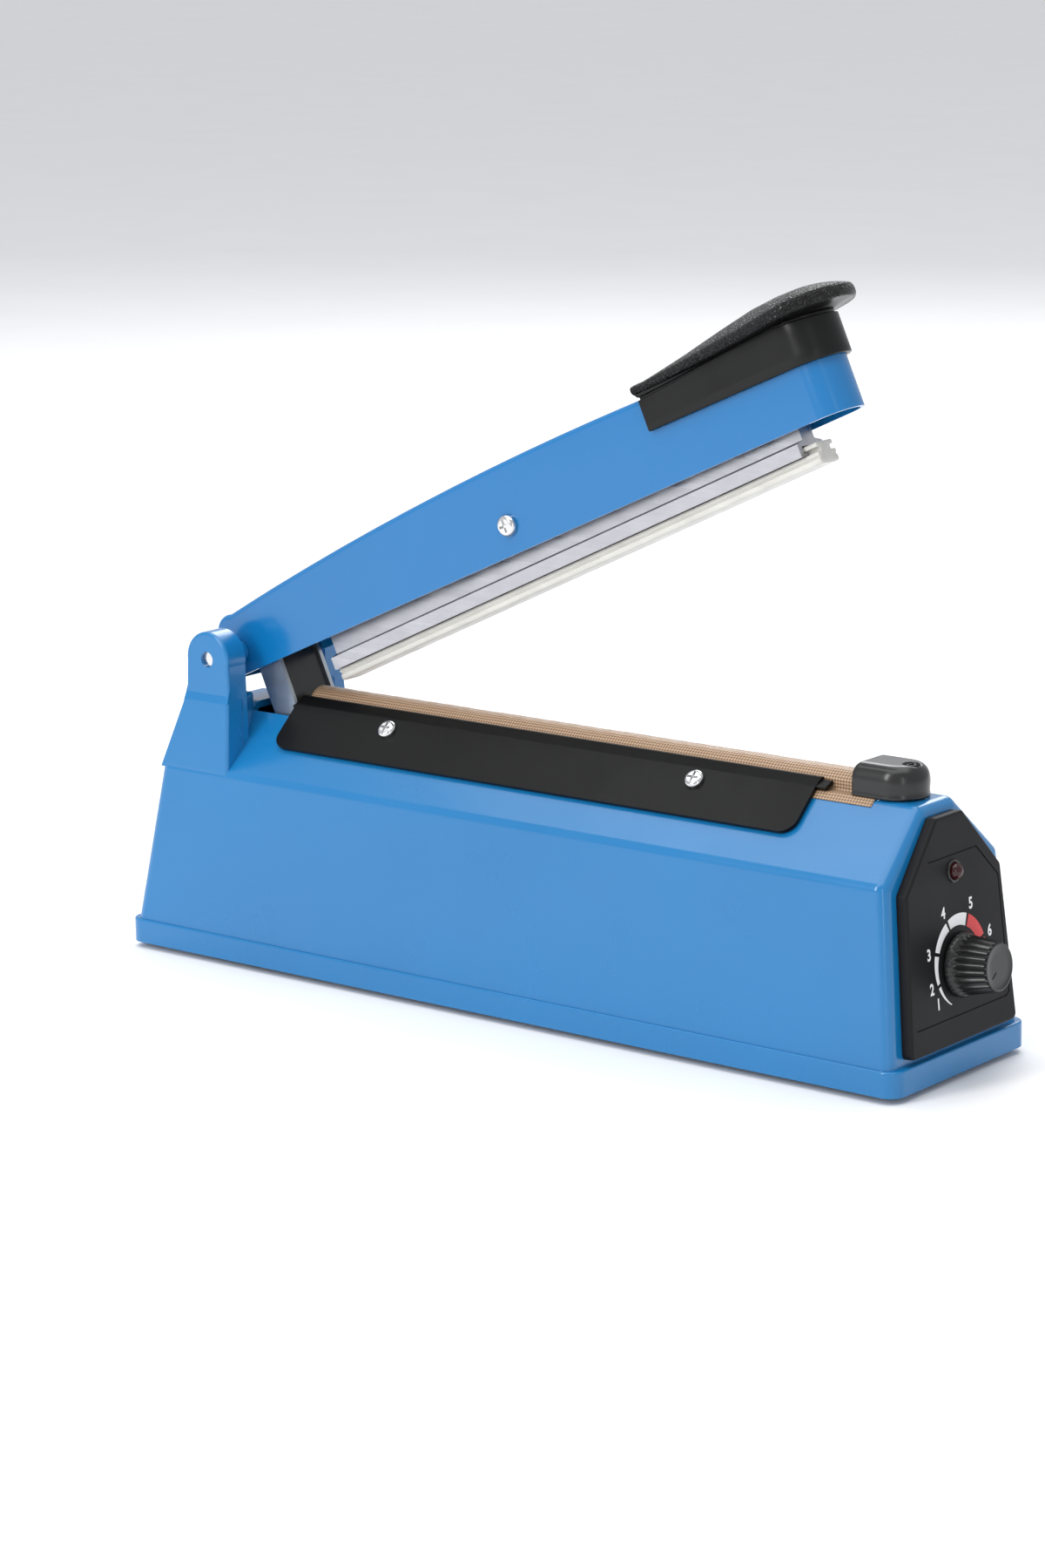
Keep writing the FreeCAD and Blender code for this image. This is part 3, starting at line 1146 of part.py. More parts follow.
def pad_slab(low):
    """The side outline between a lower line and the pad's crown, carried across the arm."""
    curves = []
    for line in (low, CROWN_LINE):
        curve = Part.BSplineCurve()
        curve.interpolate([Vector(s, -30, n) for s, n in line])
        curves.append(curve.toShape())
    edges = list(curves)
    for (s_low, n_low), (s_high, n_high) in ((low[0], CROWN_LINE[0]), (low[-1], CROWN_LINE[-1])):
        edges.append(Part.LineSegment(Vector(s_low, -30, n_low), Vector(s_high, -30, n_high)).toShape())
    return Part.Face(Part.Wire(Part.sortEdges(edges)[0])).extrude(Vector(0, 60, 0))


def wrap(gap, low, high, start=PAD_START):
    """A block that follows the arm's plan at a gap, from the pad's start round the nose."""
    taper = (ARM_REAR_HALF - ARM_NOSE_HALF) / (ARM_NOSE_CENTRE - ARM_TAPER_START)
    half = ARM_NOSE_HALF + gap
    near = Vector(start, -(half + (ARM_NOSE_CENTRE - start) * taper), low)
    plan = [near, Vector(ARM_NOSE_CENTRE, -half, low)]
    far = [Vector(p.x, -p.y, p.z) for p in reversed(plan)]
    edges = [Part.LineSegment(plan[0], plan[1]).toShape(),
             Part.Arc(plan[-1], Vector(ARM_NOSE_CENTRE + half, 0, low), far[0]).toShape(),
             Part.LineSegment(far[0], far[1]).toShape(), Part.LineSegment(far[-1], plan[0]).toShape()]
    return Part.Face(Part.Wire(edges)).extrude(Vector(0, 0, high - low))


def pad_screws():
    """Two screws from inside the arm up into the pad."""
    return on_arm(Part.makeCompound([pan_screw(Vector(s, 0, arm_top(s) - ARM_WALL - 0.3), -Z, *PAD_SCREW)
                                     for s in PAD_SCREW_ALONG]))


def bar_screw():
    """The screw across the arm that the press bar rocks on, with its head in the near wall."""
    half = arm_half(SCREW_ALONG)
    place = Vector(SCREW_ALONG, -half - 0.1, SCREW_UP)
    screw = pan_screw(place, -Y, 3.4, 1.9, 2.0, 2 * half + 3.4)
    return on_arm(screw)


def bar_nut():
    """The nut on the far end of that screw."""
    half = arm_half(SCREW_ALONG)
    nut = hex_nut(4.0, 2.02, 3.0, Vector(0, 0, 0))
    nut.rotate(Vector(0, 0, 0), X, -90)
    nut.translate(Vector(SCREW_ALONG, half + 0.1, SCREW_UP))
    return on_arm(nut)


def arm_half(along):
    """Half width of the arm at a distance from the hinge pin."""
    share = (along - ARM_TAPER_START) / (ARM_NOSE_CENTRE - ARM_TAPER_START)
    return ARM_REAR_HALF - (ARM_REAR_HALF - ARM_NOSE_HALF) * share


def bar_extrusion():
    """The aluminium section of the press bar: a web under a slotted channel for the silicone."""
    lip = 1.1
    section = [(-WEB_HALF, BAR_TOP), (WEB_HALF, BAR_TOP), (WEB_HALF, CHANNEL_TOP + 0.9),
               (CHANNEL_HALF, CHANNEL_TOP), (CHANNEL_HALF, CHANNEL_BOTTOM), (2.6, CHANNEL_BOTTOM),
               (2.6, CHANNEL_BOTTOM + lip), (4.4, CHANNEL_BOTTOM + lip), (4.4, CHANNEL_TOP - 0.9)]
    section += [(-y, z) for y, z in reversed(section[1:])]
    bar = end_prism(section, BAR_REAR, BAR_FRONT)
    bar = bar.cut(rod(2.0 + RUNNING_GAP, Vector(0, -20, 0), Y, 40.0))
    return on_bar(bar)


def silicone_strip():
    """The soft strip that presses on the ridge, held by its head in the bar's slot."""
    head = box(BAR_REAR, SILICONE_FRONT, -4.1, 4.1, CHANNEL_BOTTOM + 1.3, CHANNEL_TOP - 1.2)
    neck = box(BAR_REAR, SILICONE_FRONT, -2.4, 2.4, CHANNEL_BOTTOM - 0.5, CHANNEL_BOTTOM + 1.5)
    pad = box(BAR_REAR, SILICONE_FRONT, -SILICONE_HALF, SILICONE_HALF, SILICONE_BOTTOM, CHANNEL_BOTTOM - 0.1)
    pad = round_corners(pad, 1.1, lambda e: lengthwise(e) and e.BoundBox.ZMax < SILICONE_BOTTOM + 0.1)
    return on_bar(head.fuse(neck).fuse(pad))


NODES = {
    "housing": housing,
    "base_plate": base_plate,
    "rubber_feet": rubber_feet,
    "base_screws": base_screws,
    "cord_grommet": cord_grommet,
    "terminal_block": terminal_block,
    "inner_wires": inner_wires,
    "sealing_bar": sealing_bar,
    "bar_blocks": bar_blocks,
    "bar_block_screws": bar_block_screws,
    "insulating_tape": insulating_tape,
    "heating_element": heating_element,
    "ptfe_cloth": ptfe_cloth,
    "clamp_plate_near": clamp_plate,
    "clamp_plate_far": lambda: mirror_y(clamp_plate()),
    "clamp_screws": clamp_screws,
    "terminal_cover": terminal_cover,
    "cover_screw": cover_screw,
    "front_terminal": front_terminal,
    "rear_terminal": rear_terminal,
    "hinge_pin": hinge_pin,
    "hinge_spacers": hinge_spacers,
    "return_spring": return_spring,
    "spring_post": spring_post,
    "micro_switch": micro_switch,
    "switch_bracket": switch_bracket,
    "switch_screws": switch_screws,
    "switch_plunger": switch_plunger,
    "transformer_core": transformer_core,
    "transformer_bobbin": transformer_bobbin,
    "transformer_winding": transformer_winding,
    "transformer_bracket": transformer_bracket,
    "transformer_screws": transformer_screws,
    "control_panel": control_panel,
    "timer_control": timer_control,
    "timer_board": timer_board,
    "board_capacitors": board_capacitors,
    "board_relay": board_relay,
    "board_posts": board_posts,
    "indicator_lamp": indicator_lamp,
    "timer_knob": timer_knob,
    "knob_shaft": knob_shaft,
    "arm_channel": arm_channel,
    "handle_pad": handle_pad,
    "pad_screws": pad_screws,
    "arm_bracket": arm_bracket,
    "bracket_block": bracket_block,
    "spring_hook": spring_hook,
    "bar_screw": bar_screw,
    "bar_nut": bar_nut,
    "bar_extrusion": bar_extrusion,
    "silicone_strip": silicone_strip,
}


def main():
    """Write each piece to its own file, moved to the machine's own origin."""
    os.makedirs("parts", exist_ok=True)
    for name, make in NODES.items():
        shape = make()
        shape = shape.copy()
        shape.translate(Vector(-ORIGIN_X, 0, FOOT_DROP))
        shape.exportStep(os.path.join("parts", name + ".step"))
        print(name, len(shape.Solids), "solids", round(shape.Volume, 1), "valid", shape.isValid())
    print("origin x", round(ORIGIN_X, 3), "pivot", round(PIVOT_X - ORIGIN_X, 3), round(PIVOT_Z + FOOT_DROP, 3))


main()
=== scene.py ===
"""The looks of the bench heat sealer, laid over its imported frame.

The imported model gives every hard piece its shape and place. This script paints those pieces, builds
the ones that need finer shapes (grip, cloth, silicone, knob, dial print, lamp, spring, cover), and
sets up the floor, lights and camera. New pieces are worked out on whole numpy grids. Lengths in the
classes are millimetres in a level drawing frame (along, across, up); a Seat carries them to the
machine's own frame in metres.
"""

import json
import logging
import math
from dataclasses import dataclass, field
from enum import Enum
from typing import ClassVar

import bmesh
import bpy
import numpy as np
from mathutils import Matrix, Vector

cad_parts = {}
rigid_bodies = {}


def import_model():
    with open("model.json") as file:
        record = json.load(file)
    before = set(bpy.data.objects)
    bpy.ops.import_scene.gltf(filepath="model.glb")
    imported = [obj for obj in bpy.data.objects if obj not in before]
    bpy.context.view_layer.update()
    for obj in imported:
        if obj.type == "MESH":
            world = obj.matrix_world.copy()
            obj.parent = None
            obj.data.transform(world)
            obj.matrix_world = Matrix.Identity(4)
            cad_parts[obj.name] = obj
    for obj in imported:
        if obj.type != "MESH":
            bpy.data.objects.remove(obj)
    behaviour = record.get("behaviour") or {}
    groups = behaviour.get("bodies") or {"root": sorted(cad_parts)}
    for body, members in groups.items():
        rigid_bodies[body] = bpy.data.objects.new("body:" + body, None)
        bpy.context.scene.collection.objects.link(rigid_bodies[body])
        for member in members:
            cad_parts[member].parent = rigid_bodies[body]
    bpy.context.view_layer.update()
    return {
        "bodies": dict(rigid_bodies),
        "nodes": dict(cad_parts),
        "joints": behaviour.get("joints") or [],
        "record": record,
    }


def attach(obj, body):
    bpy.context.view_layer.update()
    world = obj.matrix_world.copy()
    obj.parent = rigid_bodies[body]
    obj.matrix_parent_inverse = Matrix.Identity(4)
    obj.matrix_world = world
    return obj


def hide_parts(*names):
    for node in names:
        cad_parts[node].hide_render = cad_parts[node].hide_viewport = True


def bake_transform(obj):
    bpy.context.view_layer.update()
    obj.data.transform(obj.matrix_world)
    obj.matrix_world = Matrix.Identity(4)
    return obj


Array = np.ndarray
Colour = tuple[float, float, float]
MM = 0.001
log = logging.getLogger("sealer")


class Body(str, Enum):
    """The bodies of the frame that a piece can ride on."""

    BASE = "base"
    ARM = "arm"
    BAR = "press_bar"
    KNOB = "knob"


class Streak(Enum):
    """Which way a metal's drawing or brushing marks run, as a stretch of the pattern's axes."""

    NONE = (1.0, 1.0, 1.0)
    ALONG = (0.02, 1.0, 1.0)
    UPRIGHT = (1.0, 1.0, 0.02)


@dataclass(frozen=True)
class Seat:
    """A level drawing frame and how it stands on the machine.

    Args:
        x: place of its origin along the machine, in millimetres.
        z: height of its origin, in millimetres.
        lift: degrees by which its front end is tipped up.
    """

    x: float
    z: float
    lift: float = 0.0

    def place(self, points: Array) -> Array:
        """Turn points about the cross axis by the lift and move them to the seat.

        Args:
            points: (..., 3) millimetres along, across and up.

        Returns:
            The same points in metres in the machine's frame.
        """
        cosine = math.cos(math.radians(self.lift))
        sine = math.sin(math.radians(self.lift))
        along, across, up = np.moveaxis(np.asarray(points, float), -1, 0)
        spots = [self.x + along * cosine - up * sine, across, self.z + along * sine + up * cosine]
        return np.stack(spots, -1) * MM


@dataclass(frozen=True)
class Seats:
    """The four drawing frames, read from the frame's own joints."""

    body: Seat
    arm: Seat
    bar: Seat
    panel: Seat

    @classmethod
    def from_joints(cls, joints: list[dict]) -> "Seats":
        """Find the seats from where the joints stand.

        Args:
            joints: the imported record's joints.

        Returns:
            The four seats.
        """
        spots = {j["name"]: [1000.0 * v for v in j["pos_m"]] for j in joints if "pos_m" in j}
        pin = spots["arm_hinge"]
        dial = spots["timer_turn"]
        screw = spots["bar_rock"]
        return cls(Seat(pin[0] + 118.5, pin[2] - 95.6), Seat(pin[0], pin[2], 24.2),
                   Seat(screw[0], screw[2], 24.8), Seat(dial[0], dial[2], 5.38))


# ---------------------------------------------------------------- materials


class Graph:
    """A material being made: its shader, and short ways to add and join nodes.

    Args:
        name: the material's name.
        settings: values for the shader's own sockets, by socket name.
    """

    def __init__(self, name: str, settings: dict[str, object]) -> None:
        self.material = bpy.data.materials.new(name)
        self.material.use_nodes = True
        self.tree = self.material.node_tree
        self.shader = self.tree.nodes["Principled BSDF"]
        for key, value in settings.items():
            self.feed(self.shader.inputs[key], value)

    def feed(self, socket: bpy.types.NodeSocket, value: object) -> None:
        """Set a socket to a value, or join it to another node's output.

        Args:
            socket: the input.
            value: a number, a tuple (a colour of three gets its fourth), or an output socket.
        """
        if isinstance(value, bpy.types.NodeSocket):
            self.tree.links.new(value, socket)
        elif isinstance(value, tuple) and socket.type == "RGBA":
            socket.default_value = (*value[:3], 1.0)
        else:
            socket.default_value = value

    def add(self, kind: str, settings: dict[str, object] | None = None,
            inputs: dict[object, object] | None = None) -> bpy.types.Node:
        """Add one node.

        Args:
            kind: the node's type, without its common prefix.
            settings: the node's own choices.
            inputs: what goes into its sockets, by name or number.

        Returns:
            The node.
        """
        node = self.tree.nodes.new("ShaderNode" + kind)
        for key, value in (settings or {}).items():
            setattr(node, key, value)
        for key, value in (inputs or {}).items():
            self.feed(node.inputs[key], value)
        return node

    def spot(self, stretch: tuple[float, float, float] = (1.0, 1.0, 1.0), turn: float = 0.0,
             source: str = "Object") -> bpy.types.NodeSocket:
        """Coordinates of the surface point.

        Args:
            stretch: scale of each axis.
            turn: degrees about the cross axis.
            source: which of the surface's coordinates.

        Returns:
            The coordinates.
        """
        place = self.add("TexCoord").outputs[source]
        inputs = {"Vector": place, "Scale": stretch, "Rotation": (0.0, math.radians(turn), 0.0)}
        return self.add("Mapping", None, inputs).outputs["Vector"]

    def noise(self, scale: float, detail: float = 3.0, at: bpy.types.NodeSocket | None = None,
              rough: float = 0.5) -> bpy.types.NodeSocket:
        """A soft random pattern.

        Args:
            scale: lumps to the metre.
            detail: how many finer layers it has.
            at: coordinates to read it at, if not the plain ones.
            rough: weight of the finer layers.

        Returns:
            The pattern, about 0 to 1.
        """
        inputs = {"Vector": at or self.spot(), "Scale": scale, "Detail": detail, "Roughness": rough}
        return self.add("TexNoise", None, inputs).outputs["Fac"]

    def cells(self, scale: float, feature: str = "F1",
              at: bpy.types.NodeSocket | None = None) -> bpy.types.NodeSocket:
        """Distances in a random pattern of cells.

        Args:
            scale: cells to the metre.
            feature: which distance is measured.
            at: coordinates to read it at, if not the plain ones.

        Returns:
            The distance, in cells.
        """
        inputs = {"Vector": at or self.spot(), "Scale": scale}
        return self.add("TexVoronoi", {"feature": feature}, inputs).outputs["Distance"]

    def sum(self, kind: str, first: object, second: object = 0.0) -> bpy.types.NodeSocket:
        """One arithmetic step.

        Args:
            kind: which step.
            first: a number or an output.
            second: a number or an output.

        Returns:
            Its result.
        """
        return self.add("Math", {"operation": kind}, {0: first, 1: second}).outputs[0]

    def span(self, value: bpy.types.NodeSocket, low: float, high: float, start: float,
             end: float) -> bpy.types.NodeSocket:
        """A value carried from one range to another and held inside it.

        Args:
            value: what is carried.
            low: start of its own range.
            high: end of its own range.
            start: what low becomes.
            end: what high becomes.

        Returns:
            The carried value.
        """
        inputs = {"Value": value, "From Min": low, "From Max": high, "To Min": start, "To Max": end}
        return self.add("MapRange", {"clamp": True}, inputs).outputs[0]

    def blend(self, share: object, first: object, second: object,
              way: str = "MIX") -> bpy.types.NodeSocket:
        """Two colours mixed by a share.

        Args:
            share: how much of the second there is.
            first: a colour or an output.
            second: a colour or an output.
            way: how they are mixed.

        Returns:
            The mixed colour.
        """
        node = self.add("Mix", {"data_type": "RGBA", "blend_type": way}, {0: share})
        self.feed(node.inputs[6], first)
        self.feed(node.inputs[7], second)
        return node.outputs[2]

    def paint(self, colour: object) -> None:
        """Send a colour to the shader.

        Args:
            colour: a colour or an output.
        """
        self.feed(self.shader.inputs["Base Color"], colour)

    def gloss(self, value: object) -> None:
        """Send a roughness to the shader.

        Args:
            value: a number or an output.
        """
        self.feed(self.shader.inputs["Roughness"], value)

    def emboss(self, height: bpy.types.NodeSocket, strength: float, depth_mm: float) -> None:
        """Add a relief over those already there.

        Args:
            height: the relief's pattern.
            strength: its weight.
            depth_mm: its depth in millimetres.
        """
        inputs = {"Height": height, "Strength": strength, "Distance": depth_mm * MM}
        node = self.add("Bump", None, inputs)
        normal = self.shader.inputs["Normal"]
        if normal.is_linked:
            self.tree.links.new(normal.links[0].from_socket, node.inputs["Normal"])
        self.tree.links.new(node.outputs["Normal"], normal)


def shaded(colour: Colour, factor: float) -> Colour:
    """A colour made darker or lighter.

    Args:
        colour: the colour.
        factor: what its parts are multiplied by.

    Returns:
        The new colour, held at full brightness.
    """
    return tuple(min(1.0, c * factor) for c in colour)


@dataclass(frozen=True)
class Finish:
    """What every finish has: a name, a colour and a roughness, and how much a near-black one
    mirrors."""

    name: str
    colour: Colour
    rough: float
    mirror: ClassVar[float] = 0.15
    near_black: ClassVar[float] = 0.02

    def make(self) -> bpy.types.Material:
        """The node material, made once and then shared.

        Returns:
            The material.
        """
        known = bpy.data.materials.get(self.name)
        return known or self.mix().material

    def mix(self) -> Graph:
        """Build the node graph. Each kind of finish adds to this one.

        Returns:
            The graph.
        """
        settings = {"Base Color": self.colour, "Roughness": self.rough}
        if max(self.colour) < self.near_black:
            settings["Specular IOR Level"] = self.mirror
        return Graph(self.name, settings)


@dataclass(frozen=True)
class Moulded(Finish):
    """Moulded plastic or paint: a slow drift of colour, a fine skin relief, specks of dust and rubbed
    places.

    Args:
        skin: lumps of the fine relief to the metre.
        relief: depth of the fine relief in millimetres.
        drift: share by which the colour wanders.
        coat: weight of the clear top layer.
        rubbed: how much the gloss differs from place to place.
    """

    skin: float = 1500.0
    relief: float = 0.01
    drift: float = 0.05
    coat: float = 0.0
    rubbed: float = 0.06

    def mix(self) -> Graph:
        """Colour by slow noise, gloss by mid noise and scuffs, relief by fine noise.

        Returns:
            The graph.
        """
        graph = super().mix()
        slow = graph.span(graph.noise(14.0, 2.0), 0.3, 0.7, 0.0, 1.0)
        dark = shaded(self.colour, 1.0 - self.drift)
        pale = shaded(self.colour, 1.0 + self.drift)
        tone = graph.blend(slow, dark, pale)
        dust = graph.span(graph.cells(260.0), 0.035, 0.0, 0.0, 0.12)
        graph.paint(graph.blend(dust, tone, shaded(self.colour, 1.6)))
        scuff = graph.noise(40.0, 3.0, None, 0.55)
        graph.gloss(graph.span(scuff, 0.35, 0.75, self.rough - self.rubbed / 2, self.rough + self.rubbed))
        if self.coat:
            graph.shader.inputs["Coat Weight"].default_value = self.coat
            graph.shader.inputs["Coat Roughness"].default_value = 0.08
        graph.emboss(graph.noise(self.skin, 3.0), 0.6, self.relief)
        graph.emboss(graph.noise(22.0, 1.0), 0.15, 0.04)
        return graph


@dataclass(frozen=True)
class Grained(Finish):
    """Leather grain on a moulded grip: pebbles with creases between them.
    The piece's own attribute "grain" says where the pebbles are."""

    pebbles: float = 950.0
    mirror: ClassVar[float] = 0.3

    def mix(self) -> Graph:
        """Relief from the distance to the edge of each cell, held back where the attribute is low.

        Returns:
            The graph.
        """
        graph = super().mix()
        mask = graph.add("Attribute", {"attribute_name": "grain"}).outputs["Fac"]
        wobble = graph.noise(300.0, 2.0)
        warp = graph.add("VectorMath", {"operation": "MULTIPLY_ADD"},
                         {0: wobble, 1: (0.0012,) * 3, 2: graph.spot()}).outputs[0]
        crease = graph.span(graph.cells(self.pebbles, "DISTANCE_TO_EDGE", warp), 0.0, 0.22, 0.0, 1.0)
        held = graph.sum("MULTIPLY", crease, mask)
        # painted highlight and shade: where the grain mask is on, pebble tops are painted 1.25 times lighter
        # and the creases 0.72 times darker
        graph.paint(graph.blend(held, shaded(self.colour, 0.72), shaded(self.colour, 1.25)))
        worn = graph.span(graph.noise(70.0, 4.0), 0.35, 0.7, self.rough - 0.07, self.rough + 0.08)
        graph.gloss(graph.sum("SUBTRACT", worn, graph.sum("MULTIPLY", held, 0.05)))
        graph.emboss(held, 1.0, 0.3)
        graph.emboss(graph.noise(2600.0, 2.0), 0.35, 0.012)
        return graph


@dataclass(frozen=True)
class Metal(Finish):
    """Bare or plated metal with drawing marks and a blotchy tone.

    Args:
        streak: which way the marks run.
        turn: degrees by which the marks are tipped about the cross axis.
        marks: depth of the marks in millimetres.
        blotch: how much the tone varies.
    """

    streak: Streak = Streak.NONE
    turn: float = 0.0
    marks: float = 0.01
    blotch: float = 0.12

    def mix(self) -> Graph:
        """Tone by slow noise, gloss and relief by noise stretched along the streak.

        Returns:
            The graph.
        """
        graph = super().mix()
        graph.shader.inputs["Metallic"].default_value = 1.0
        drawn = graph.spot(self.streak.value, self.turn)
        lines = graph.noise(1400.0, 3.0, drawn, 0.7)
        broad = graph.noise(260.0, 2.0, drawn)
        patch = graph.span(graph.noise(110.0, 3.0), 0.3, 0.7, 0.0, 1.0)
        dark, pale = shaded(self.colour, 1.0 - self.blotch), shaded(self.colour, 1.0 + self.blotch)
        tone = graph.blend(patch, dark, pale)
        graph.paint(graph.blend(graph.span(lines, 0.3, 0.7, 0.0, 0.3), tone, shaded(self.colour, 0.7)))
        graph.gloss(graph.span(broad, 0.3, 0.7, self.rough - 0.06, self.rough + 0.1))
        graph.emboss(lines, 0.5, self.marks)
        return graph


@dataclass(frozen=True)
class Woven(Finish):
    """Coated glass cloth: two sets of threads at a slant under a waxy film; the raised threads get a painted
    highlight and the sunk ones painted shade.

    Args:
        pitch: width of one thread in millimetres.
        light: colour of the raised threads, their painted highlight; it also tints the slow random tone.
    """

    pitch: float = 1.0
    light: Colour = (0.50, 0.33, 0.20)

    def mix(self) -> Graph:
        """The product of two sines along the cloth's own slanted directions says which thread is up.

        Returns:
            The graph.
        """
        graph = super().mix()
        flat = graph.spot((1.0, 1.0, 1.0), 0.0, "UV")
        parts = graph.add("SeparateXYZ", None, {0: flat}).outputs
        rate = math.pi / self.pitch
        waves = []
        for kind in ("ADD", "SUBTRACT"):
            slant = graph.sum("MULTIPLY", graph.sum(kind, parts[0], parts[1]), rate)
            waves.append(graph.sum("SINE", slant))
        weave = graph.sum("MULTIPLY", waves[0], waves[1])
        ridge = graph.span(weave, -0.5, 0.5, 0.0, 1.0)
        slow = graph.span(graph.noise(60.0, 3.0), 0.3, 0.7, 0.85, 1.1)
        # painted highlight and shade: raised threads take the light colour, and sunk threads are darkened to
        # 0.45 of the base colour
        base = graph.blend(ridge, shaded(self.colour, 0.45), self.light)
        graph.paint(graph.blend(0.12, base, graph.blend(slow, self.colour, self.light)))
        graph.gloss(graph.span(ridge, 0.0, 1.0, self.rough + 0.08, self.rough - 0.05))
        graph.shader.inputs["Coat Weight"].default_value = 0.25
        graph.shader.inputs["Coat Roughness"].default_value = 0.3
        graph.emboss(weave, 0.8, 0.06)
        return graph


@dataclass(frozen=True)
class Clear(Finish):
    """Light passes into it: silicone or a tinted lens.

    Args:
        depth: how far light scatters inside, in millimetres; nothing scatters at 0.
        through: share of light that passes straight on.
    """

    depth: float = 0.0
    through: float = 0.0

    def mix(self) -> Graph:
        """Scattering or transmission set on the shader, with cloudy colour and small pits.

        Returns:
            The graph.
        """
        graph = super().mix()
        shader = graph.shader.inputs
        if self.depth:
            shader["Subsurface Weight"].default_value = 0.6
            shader["Subsurface Radius"].default_value = (1.0, 0.95, 0.9)
            shader["Subsurface Scale"].default_value = self.depth * MM
        shader["Transmission Weight"].default_value = self.through
        cloud = graph.span(graph.noise(240.0, 4.0, graph.spot((0.3, 1.0, 1.0))), 0.3, 0.7, 0.0, 1.0)
        graph.paint(graph.blend(cloud, shaded(self.colour, 0.92), shaded(self.colour, 1.06)))
        graph.gloss(graph.span(graph.noise(120.0, 3.0), 0.3, 0.7, self.rough - 0.05, self.rough + 0.08))
        graph.emboss(graph.noise(1800.0, 2.0), 0.4, 0.012)
        return graph


@dataclass(frozen=True)
class Banded(Finish):
    """Thin layers one beside another: iron sheets or wound wire.

    Args:
        bands: layers to the metre.
        axis: stretch that picks the direction across the layers.
        metal: how metallic the layers are.
        seam: colour in the joints.
    """

    bands: float = 900.0
    axis: tuple[float, float, float] = (0.0, 1.0, 0.0)
    metal: float = 0.0
    seam: Colour = (0.02, 0.02, 0.02)

    def mix(self) -> Graph:
        """A wave across the layers darkens and sinks their joints, broken up by a little noise.

        Returns:
            The graph.
        """
        graph = super().mix()
        graph.shader.inputs["Metallic"].default_value = self.metal
        inputs = {"Vector": graph.spot(self.axis), "Scale": self.bands / math.tau, "Distortion": 0.4}
        wave = graph.add("TexWave", {"bands_direction": "DIAGONAL"}, inputs).outputs["Fac"]
        joint = graph.span(wave, 0.0, 0.45, 1.0, 0.0)
        tone = graph.blend(graph.noise(200.0), shaded(self.colour, 0.8), shaded(self.colour, 1.2))
        graph.paint(graph.blend(joint, tone, self.seam))
        graph.gloss(graph.span(graph.noise(300.0), 0.3, 0.7, self.rough - 0.08, self.rough + 0.1))
        graph.emboss(wave, 0.8, 0.12)
        return graph


